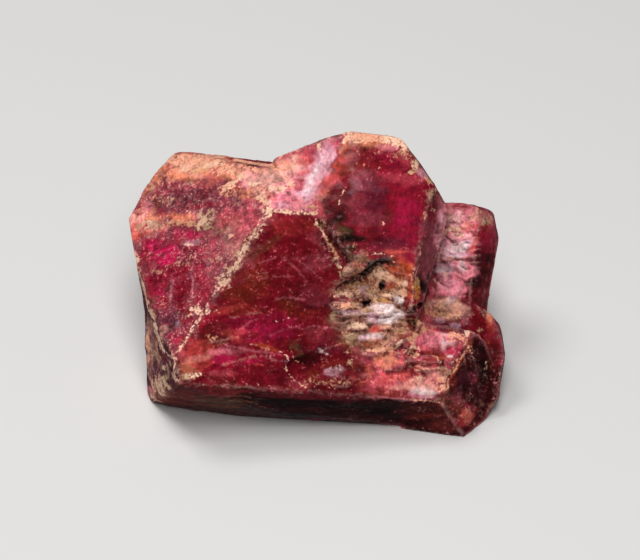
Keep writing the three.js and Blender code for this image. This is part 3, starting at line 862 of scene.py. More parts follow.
    ("haze", 0.2, 2.91, -5.31, 0.51, 0.25),
    ("orange", 0.45, 3.41, -5.81, 0.32, 0.57, 10),
    ("salmon", 0.95, 4.55, -5.05, 0.76, 0.57),
    ("crust", 0.6, 4.17, -4.42, 0.63, 0.19),
    ("brick", 0.8, 3.47, -6.82, 1.64, 0.38, -8),
    ("rust", 0.4, 3.47, -6.82, 1.52, 0.32, -6),
    ("coral", 0.5, 4.74, -6.19, 0.88, 0.32),
    ("coral", 0.5, 5.68, -6.82, 0.63, 0.51),
    ("rust", 0.5, 5.37, -5.68, 0.38, 0.38),
    ("khaki", 0.4, 5.56, -5.56, 0.32, 0.38),
    ("khaki", 0.5, 5.05, -4.8, 0.25, 0.25),
    # Pit: iron-stained tan and khaki; its white and lavender are painted highlights on the ledges,
    # its olive and maroon partly painted shade under the lip and ledges
    ("umber", 0.95, 3.41, -0.51, 2.4, 1.77),
    ("umber", 0.8, 3.41, -3.03, 2.27, 1.64),
    ("tan", 0.55, 3.28, -0.63, 2.15, 1.52),
    ("khaki", 0.5, 2.02, -1.01, 1.14, 0.88),
    ("fawn", 0.5, 3.28, -2.65, 1.89, 1.01),
    ("khaki", 0.4, 3.28, -2.65, 1.89, 1.01),
    ("tan", 0.5, 4.55, 0.13, 0.88, 0.63),
    ("olive", 0.6, 2.15, -0.32, 0.76, 0.22, 25),
    ("olive", 0.5, 2.65, -0.38, 0.88, 0.51, -30),
    ("umber", 0.4, 2.27, -1.14, 0.76, 0.38, -30),
    ("brick", 0.5, 1.45, -0.51, 0.38, 0.38, 30),
    ("khaki", 0.6, 3.28, 0.51, 0.44, 0.38),
    ("cream", 0.7, 3.92, 0.44, 0.57, 0.22, -10),
    ("crust", 0.6, 4.55, 0.25, 0.63, 0.19),
    ("crust", 0.7, 4.55, -0.13, 0.76, 0.16, -6),
    ("brick", 0.5, 3.16, 0, 0.38, 0.19),
    ("orange", 0.6, 4.42, -0.38, 0.63, 0.19, 4),
    ("coral", 0.5, 4.29, -0.25, 0.51, 0.14, 6),
    ("cream", 0.6, 4.04, 0.19, 0.57, 0.13, -6),
    ("coral", 0.6, 5.18, 0.76, 0.32, 0.76, 42),
    ("orange", 0.8, 5.37, 0.51, 0.38, 0.95, 38),
    ("rust", 0.5, 5.18, 0.88, 0.25, 0.76, 38),
    ("coral", 0.4, 5.62, 0, 0.25, 0.57, 20),
    ("coral", 0.5, 4.67, 1.2, 0.32, 0.32),
    ("cream", 0.35, 4.61, 1.39, 0.19, 0.25),
    ("orange", 0.6, 5.75, -0.63, 0.38, 0.63),
    ("gold", 0.6, 6.13, -0.63, 0.25, 0.82),
    ("khaki", 0.5, 6.19, 0, 0.25, 0.38),
    ("cream", 0.9, 5.37, -0.25, 0.16, 0.16),
    ("crust", 0.6, 5.24, -0.76, 0.19, 0.32),
    ("coral", 0.5, 5.56, -1.26, 0.38, 0.38),
    ("khaki", 0.7, 5.87, -1.71, 0.38, 0.25),
    ("khaki", 0.5, 3.28, -0.69, 0.51, 0.32),
    ("lavender", 0.3, 2.84, -0.63, 0.38, 0.38),
    ("cream", 0.5, 1.64, -0.95, 0.76, 0.19, 6),
    ("rust", 0.6, 2.4, -1.45, 0.38, 0.32),
    ("rust", 0.4, 1.45, -1.2, 0.76, 0.09),
    ("crust", 0.8, 1.33, -1.58, 0.69, 0.2, 2),
    ("blush", 0.5, 1.14, -1.45, 0.44, 0.1, 2),
    ("gold", 0.4, 3.79, -1.33, 0.63, 0.19),
    ("cream", 0.4, 3.54, -1.26, 0.13, 0.32),
    ("cream", 0.9, 4.61, -1.01, 0.38, 0.32, -25),
    ("white", 0.9, 4.93, -1.26, 0.32, 0.25, -30),
    ("rust", 0.5, 4.74, -1.64, 0.38, 0.16),
    ("wedge", 0.6, 1.96, -2.08, 1.01, 0.16, -2),
    ("lavender", 0.4, 1.89, -2.02, 0.82, 0.1, -2),
    ("khaki", 0.7, 0.88, -2.27, 0.25, 0.32),
    ("tan", 0.6, 1.58, -1.83, 0.88, 0.09),
    ("maroon", 0.5, 1.89, -2.4, 1.01, 0.11, -4),
    ("tan", 0.5, 3.03, -1.83, 0.38, 0.25, 20),
    ("white", 1, 3.98, -2.08, 0.88, 0.44, -8),
    ("white", 0.95, 4.8, -2.27, 0.57, 0.38, 10),
    ("lavender", 0.9, 3.54, -2.4, 0.57, 0.25, -20),
    ("white", 0.9, 4.17, -2.59, 0.63, 0.19, -4),
    ("rust", 0.5, 2.65, -2.53, 0.63, 0.16, -12),
    ("cream", 0.85, 2.46, -2.91, 0.63, 0.25, 2),
    ("tan", 0.5, 1.89, -3.28, 0.51, 0.19),
    ("coral", 0.85, 3.6, -3.09, 0.51, 0.22, 10),
    ("crust", 0.5, 4.29, -3.03, 0.51, 0.19),
    ("tan", 0.6, 4.93, -3.16, 0.51, 0.25),
    ("khaki", 0.8, 2.02, -3.6, 0.51, 0.19),
    ("white", 0.5, 3.41, -3.54, 0.76, 0.19, 8),
    ("lavender", 0.6, 2.78, -3.66, 0.32, 0.19),
    ("crust", 0.7, 4.17, -3.35, 0.38, 0.16),
    ("khaki", 0.6, 1.89, -4.04, 0.51, 0.25),
    ("orange", 0.45, 3.28, -3.98, 0.57, 0.25),
    ("tan", 0.7, 4.11, -3.98, 0.76, 0.32, -6),
    ("crust", 0.7, 4.42, -4.29, 0.57, 0.25),
    ("crust", 0.8, 3.35, -4.45, 0.76, 0.11, -4),
    ("rose", 0.4, 2.27, -4.23, 0.44, 0.32),
    ("brick", 0.4, 1.52, -4.04, 0.32, 0.25),
    ("khaki", 0.4, 1.77, -4.48, 0.38, 0.19),
    ("tan", 0.6, 5.05, -2.65, 0.38, 0.38),
    ("khaki", 0.5, 5.68, -2.65, 0.38, 0.38),
    ("orange", 0.4, 5.37, -3.16, 0.38, 0.38),
    ("plum", 0.75, 5.43, -4.11, 0.44, 0.44, 30),
    ("maroon", 0.6, 5.75, -3.47, 0.32, 0.63),
    ("rust", 0.5, 5.68, -4.42, 0.25, 0.57),
    ("cream", 0.8, 5.05, -3.98, 0.13, 0.44, -45),
    ("tan", 0.7, 5.94, -3.92, 0.19, 0.88),
    # Ledged pale strip on the right crystal; its white and lavender are painted sheen on the
    # ledges
    ("pink", 0.8, 8.53, 1.89, 1.14, 2.91, 8),
    ("lavender", 0.6, 8.46, 2.65, 0.88, 1.52, 8),
    ("blush", 0.2, 8.84, 4.17, 0.76, 0.57),
    ("rose", 0.95, 8.97, 4.67, 1.01, 0.32, -4),
    ("crimson", 0.7, 9.22, 4.67, 1.14, 0.38, -4),
    ("ruby", 0.35, 9.22, 4.74, 1.07, 0.32, -4),
    ("cream", 0.4, 8.65, 4.04, 0.38, 0.44),
    ("white", 0.4, 8.53, 3.85, 0.51, 0.19),
    ("pink", 0.8, 9.47, 3.92, 0.51, 0.51),
    ("cream", 0.8, 9.73, 3.98, 0.25, 0.25),
    ("khaki", 0.5, 8.15, 4.17, 0.19, 0.51),
    ("rose", 0.35, 8.97, 3.6, 0.63, 0.13),
    ("coral", 0.5, 9.28, 3.41, 0.57, 0.25),
    ("gold", 0.45, 8.78, 3.09, 0.32, 0.25),
    ("cream", 0.7, 8.34, 3.16, 0.38, 0.38, -30),
    ("cream", 0.45, 8.84, 2.84, 0.63, 0.16, 4),
    ("tan", 0.4, 8.08, 2.65, 0.25, 0.25),
    ("maroon", 0.45, 8.84, 2.53, 0.76, 0.1, 8),
    ("lavender", 0.9, 8.53, 2.15, 0.95, 0.38, 6),
    ("white", 0.7, 8.72, 2.21, 0.63, 0.15, 6),
    ("white", 0.7, 8.91, 1.96, 0.32, 0.25),
    ("cream", 0.4, 7.71, 1.52, 0.38, 0.57, -25),
    ("white", 0.5, 7.83, 1.39, 0.32, 0.51, -25),
    ("lavender", 0.8, 8.59, 1.64, 0.76, 0.25),
    ("white", 0.6, 8.34, 1.45, 0.63, 0.15),
    ("gold", 0.7, 8.27, 1.26, 0.32, 0.19, -10),
    ("rust", 0.5, 8.84, 1.26, 0.51, 0.09, -4),
    ("brick", 0.6, 7.58, 0.82, 0.57, 0.19, 10),
    ("white", 0.6, 8.97, 0.88, 0.25, 0.38),
    ("lavender", 0.8, 7.89, 0.51, 0.82, 0.44, 10),
    ("white", 0.5, 7.77, 0.63, 0.51, 0.19, 14),
    ("pink", 0.8, 8.53, -0.06, 0.82, 0.51),
    ("glow", 0.2, 8.59, -0.25, 0.63, 0.32),
    ("cream", 0.5, 7.58, 0, 0.44, 0.44),
    ("glow", 0.25, 8.53, -0.51, 0.76, 0.25),
    ("pink", 0.9, 8.08, -0.51, 1.07, 0.51, -4),
    ("lavender", 0.35, 8.21, -0.25, 0.82, 0.38),
    ("fawn", 0.95, 8.08, -1.71, 1.14, 0.69),
    ("blush", 0.6, 8.21, -1.58, 0.88, 0.44),
    ("khaki", 0.35, 7.96, -1.77, 0.76, 0.38),
    ("cream", 0.35, 8.46, -1.26, 0.51, 0.32),
    ("white", 0.4, 8.21, -1.39, 0.38, 0.13, 20),
    ("lavender", 0.4, 8.34, -1.14, 0.38, 0.19),
    ("olive", 0.35, 8.02, -1.64, 0.63, 0.13, 25),
    ("tan", 0.7, 7.39, -2.08, 0.63, 0.38, -20),
    ("crust", 0.5, 8.53, -2.08, 0.57, 0.32),
    # Dark red face beside the strip; its wine and black are partly painted shade of a face turned
    # from the light
    ("crimson", 0.95, 10.23, 2.21, 0.88, 1.14),
    ("wine", 0.95, 10.23, 0, 0.82, 1.89),
    ("black", 0.3, 9.85, 0.76, 0.51, 1.14),
    ("tan", 0.6, 10.48, 3.98, 0.51, 0.32, -30),
    ("rose", 0.3, 10.61, 4.04, 0.51, 0.32, -30),
    ("fawn", 0.5, 10.48, 3.98, 0.51, 0.38, -30),
    ("rose", 0.6, 10.8, 3.41, 0.32, 0.51, -20),
    ("khaki", 0.5, 10.55, 3.66, 0.25, 0.19),
    ("brick", 0.8, 9.92, 3.28, 0.32, 0.51, -20),
    ("coral", 0.6, 9.66, 2.21, 0.22, 0.57, -15),
    ("haze", 0.5, 10.55, -0.51, 0.32, 0.63),
    ("haze", 0.3, 10.99, 2.53, 0.25, 0.76),
    ("ruby", 0.8, 9.66, -1.26, 0.38, 1.26),
    ("maroon", 0.6, 10.42, -1.77, 0.44, 0.63),
    ("khaki", 0.35, 10.36, -2.02, 0.25, 0.38),
    # Gap and underside between strip and block: black and plum are painted shade, lavender painted
    # glints
    ("wine", 0.9, 6.57, -0.76, 0.44, 0.88),
    ("black", 0.95, 6.76, -0.51, 0.44, 0.95),
    ("black", 0.8, 6.69, -0.88, 0.38, 0.76),
    ("plum", 0.6, 6.57, -1.26, 0.32, 0.51),
    ("khaki", 0.5, 6.57, -1.01, 0.19, 0.09, 25),
    ("black", 0.9, 5.81, -1.89, 0.25, 0.32, -30),
    ("plum", 0.9, 7.89, -2.84, 1.26, 0.38, -14),
    ("lavender", 0.35, 7.58, -2.53, 0.38, 0.19),
    ("lavender", 0.4, 8.59, -2.84, 0.32, 0.19),
    ("maroon", 0.7, 8.53, -3.22, 0.76, 0.25, -14),
    ("cream", 0.8, 9.28, -3.35, 0.19, 0.38),
    ("khaki", 0.25, 10.17, -3.16, 0.19, 0.51, -15),
    # Lower right block, with painted highlights in white and lavender
    ("rose", 0.8, 7.26, -3.79, 1.14, 0.76, -10),
    ("pink", 0.8, 7.45, -3.66, 1.07, 0.44, -10),
    ("white", 0.35, 7.58, -3.41, 0.76, 0.13, -8),
    ("white", 0.3, 8.08, -3.98, 0.51, 0.13, -8),
    ("coral", 0.5, 6.95, -3.16, 0.51, 0.32),
    ("crust", 0.6, 8.53, -3.6, 0.63, 0.38, -10),
    ("brick", 0.5, 9.28, -3.92, 0.32, 0.38),
    ("crust", 0.7, 8.97, -4.55, 0.38, 0.51, -20),
    ("tan", 0.7, 6.06, -3.16, 0.32, 0.51),
    ("cream", 0.5, 6.32, -4.42, 0.38, 0.38, 35),
    ("white", 0.4, 7.77, -4.04, 0.19, 0.44),
    ("glow", 0.45, 8.34, -4.48, 0.51, 0.25, 4),
    ("white", 0.8, 8.21, -4.8, 0.19, 0.1),
    ("brick", 0.85, 7.33, -4.74, 0.76, 0.22, -8),
    ("orange", 0.4, 7.58, -4.86, 0.57, 0.1, -4),
    ("cream", 0.5, 7.96, -5.18, 0.51, 0.13),
    ("brick", 0.55, 6.82, -5.24, 0.76, 0.22, -4),
    ("rose", 0.4, 7.58, -5.56, 0.51, 0.25),
    ("tan", 0.6, 6.19, -5.56, 0.38, 0.32),
    ("crust", 0.45, 6.57, -6.19, 0.88, 0.51),
    ("blush", 0.5, 7.14, -6.06, 0.57, 0.44),
    ("coral", 0.3, 6.19, -5.81, 0.51, 0.38),
    ("cream", 0.5, 6.06, -6.57, 0.44, 0.32),
    ("lavender", 0.7, 6.63, -7.26, 0.95, 0.32, -4),
    ("crust", 0.7, 7.45, -6.69, 0.32, 0.82, -22),
    ("blush", 0.7, 6.19, -6.82, 1.14, 0.38, -4),
    ("white", 0.6, 6.57, -7.07, 0.88, 0.21, -4),
    ("khaki", 0.5, 7.83, -5.68, 0.32, 0.44, -25),
    ("tan", 0.6, 8.65, -5.43, 0.25, 0.63, -40),
    # Dark side and corner bump: wine and black are painted shade of the side turned from the light
    ("wine", 0.95, 10.86, -5.81, 0.88, 2.27),
    ("wine", 0.95, 9.35, -5.56, 0.88, 1.26),
    ("black", 0.7, 9.73, -5.18, 0.63, 1.39, 10),
    ("black", 0.5, 8.97, -6.63, 0.38, 0.63),
    ("brick", 0.7, 8.34, -6.63, 0.32, 0.88, -25),
    ("haze", 0.3, 8.72, -7.14, 0.32, 0.51),
    ("plum", 0.6, 9.03, -6.19, 0.32, 0.51),
    ("rust", 0.55, 7.89, -8.08, 0.44, 0.63, -20),
    ("olive", 0.5, 8.21, -7.71, 0.32, 0.51),
    ("brick", 0.6, 8.97, -8.34, 0.88, 0.76),
    ("maroon", 0.5, 9.47, -7.89, 0.63, 0.76),
    ("haze", 0.5, 9.16, -7.71, 0.63, 0.32),
    ("salmon", 0.2, 9.16, -8.46, 0.57, 0.38),
    ("tan", 0.25, 9.6, -8.97, 0.38, 0.38),
    # Fin on the far right, its maroon and wine partly painted shade
    ("maroon", 0.9, 11.31, -4.74, 0.51, 2.15),
    ("wine", 0.5, 11.49, -6, 0.38, 1.52),
    ("wine", 0.8, 10.99, -6.63, 0.57, 1.01),
    ("brick", 0.6, 10.8, -3.03, 0.25, 0.95, -8),
    ("coral", 0.3, 10.67, -2.53, 0.19, 0.51, -8),
    ("salmon", 0.5, 10.74, -2.27, 0.25, 0.38),
    ("brick", 0.5, 10.55, -4.11, 0.19, 0.63),
    ("khaki", 0.35, 10.42, -5.68, 0.13, 0.69, -12),
    ("cream", 0.25, 10.48, -5.18, 0.11, 0.32),
    ("magenta", 0.4, 11.18, -3.47, 0.32, 0.32),
    ("wine", 0.9, 10.74, -7.77, 0.82, 0.95),
    ("black", 0.3, 10.86, -6.63, 0.38, 1.01),
    ("plum", 0.4, 10.36, -7.58, 0.32, 0.32),
    ("umber", 0.6, 10.8, -8.08, 0.32, 0.32, -30),
    # Small low face at the left
    ("plum", 0.5, -10.23, -4.11, 0.51, 1.39, -10),
    ("fawn", 0.8, -10.48, -3.92, 0.44, 1.77),
    ("crust", 0.4, -10.61, -4.42, 0.32, 1.52),
    ("blush", 0.5, -10.74, -4.42, 0.19, 1.89),
    ("haze", 0.5, -10.55, -3.16, 0.38, 0.76),
    ("khaki", 0.7, -10.55, -2.4, 0.32, 0.63, -15),
    ("plum", 0.6, -10.55, -3.66, 0.25, 0.38),
    ("crust", 0.7, -10.89, -4.42, 0.13, 1.39),
    ("khaki", 0.6, -10.29, -4.55, 0.32, 0.44),
    ("rust", 0.6, -9.98, -4.93, 0.32, 0.38),
    ("plum", 0.85, -10.55, -5.56, 0.38, 0.51, -20),
    ("cream", 0.7, -9.92, -5.56, 0.13, 0.16),
    ("khaki", 0.6, -9.6, -5.81, 0.25, 0.76, -10),
    ("fawn", 0.9, -10.11, -6.82, 0.76, 0.76),
    ("crust", 0.6, -10.36, -6.82, 0.63, 0.69),
    ("blush", 0.4, -10.55, -7.07, 0.38, 0.63),
    ("khaki", 0.8, -10.04, -6.76, 0.76, 0.57),
    ("cream", 0.7, -10.11, -6.63, 0.57, 0.44),
    ("cream", 0.5, -10.48, -6.19, 0.32, 0.32),
    ("olive", 0.4, -9.85, -6.82, 0.32, 0.25),
    ("cream", 0.85, -10.42, -7.45, 0.51, 0.32),
    ("pink", 0.7, -10.86, -7.07, 0.19, 0.38),
    ("plum", 0.6, -9.35, -5.81, 0.19, 0.63, -15),
    # Undercut below the front face: maroon, wine and black are painted shade under the overhang
    ("maroon", 0.8, -3.79, -7.07, 6.32, 0.44, -2),
    ("wine", 0.5, 2.53, -7.33, 3.79, 0.51, -2),
    ("wine", 0.9, 0.63, -8.02, 6.63, 0.76, -2),
    ("black", 0.8, 1.58, -8.15, 5.81, 0.69, -2),
    ("maroon", 0.8, -8.53, -8.08, 1.77, 0.57),
    ("olive", 0.3, -6.63, -7.64, 1.64, 0.19, -2),
    ("brick", 0.55, -8.97, -7.45, 1.26, 0.32, -6),
    ("brick", 0.3, -6.63, -7.07, 2.53, 0.25),
    ("olive", 0.35, -6, -7.96, 1.14, 0.19),
    ("maroon", 0.8, 6.63, -8.21, 1.77, 0.57, 4),
    ("brick", 0.35, 6.63, -8.59, 1.52, 0.19, 4),
    # Holes in the pit, painted black: painted shade inside them
    ("black", 0.97, 3.66, 1.07, 0.82, 0.32, 4),
    ("black", 0.97, 4.23, 1.01, 0.32, 0.38, 20),
    ("black", 0.97, 3.92, -0.25, 0.22, 0.28, -15),
    ("black", 0.97, 3.03, -1.45, 0.38, 0.25),
    # Last touches, all over
    ("ruby", 0.6, 1.26, 5.62, 0.57, 0.95, -22),
    ("crimson", 0.35, 1.39, 6.19, 0.44, 0.76, -20),
    ("ruby", 0.4, 1.14, 4.67, 0.51, 0.57),
    ("rose", 0.45, 0.82, 6.19, 0.44, 0.63, -28),
    ("crimson", 0.3, 2.34, 6.06, 0.63, 0.82),
    ("crimson", 0.2, 3.28, 7.71, 1.01, 0.51),
    ("rose", 0.35, 5.18, 7.71, 0.44, 0.57, -40),
    ("crimson", 0.3, -4.42, -7.14, 6.95, 0.32, -2),
    ("brick", 0.5, 8.34, -9.09, 1.26, 0.51),
    ("coral", 0.3, 9.28, -8.72, 0.57, 0.57, 20),
    ("white", 0.4, 8.21, 2.02, 0.82, 0.32, -10),
    ("blush", 0.4, 9.03, 3.54, 0.76, 0.44),
    ("white", 0.3, 7.58, 0.57, 0.44, 0.32),
    ("pink", 0.4, 8.21, -0.44, 0.76, 0.38),
    ("cream", 0.5, -9.98, -6.69, 0.63, 0.44),
    ("crimson", 0.3, -1.89, 3.41, 1.39, 0.51, -8),
    ("crimson", 0.35, 2.65, 7.77, 0.76, 0.51),
    ("pink", 0.35, -11.31, 4.23, 0.51, 0.57),
    ("crimson", 0.5, 9.22, 4.67, 1.07, 0.25, -4),
    # black: painted shade under a ledge of the pit
    ("black", 0.6, 2.46, -1.26, 0.32, 0.19),
    ("umber", 0.5, 4.8, -2.91, 0.38, 0.19),
)

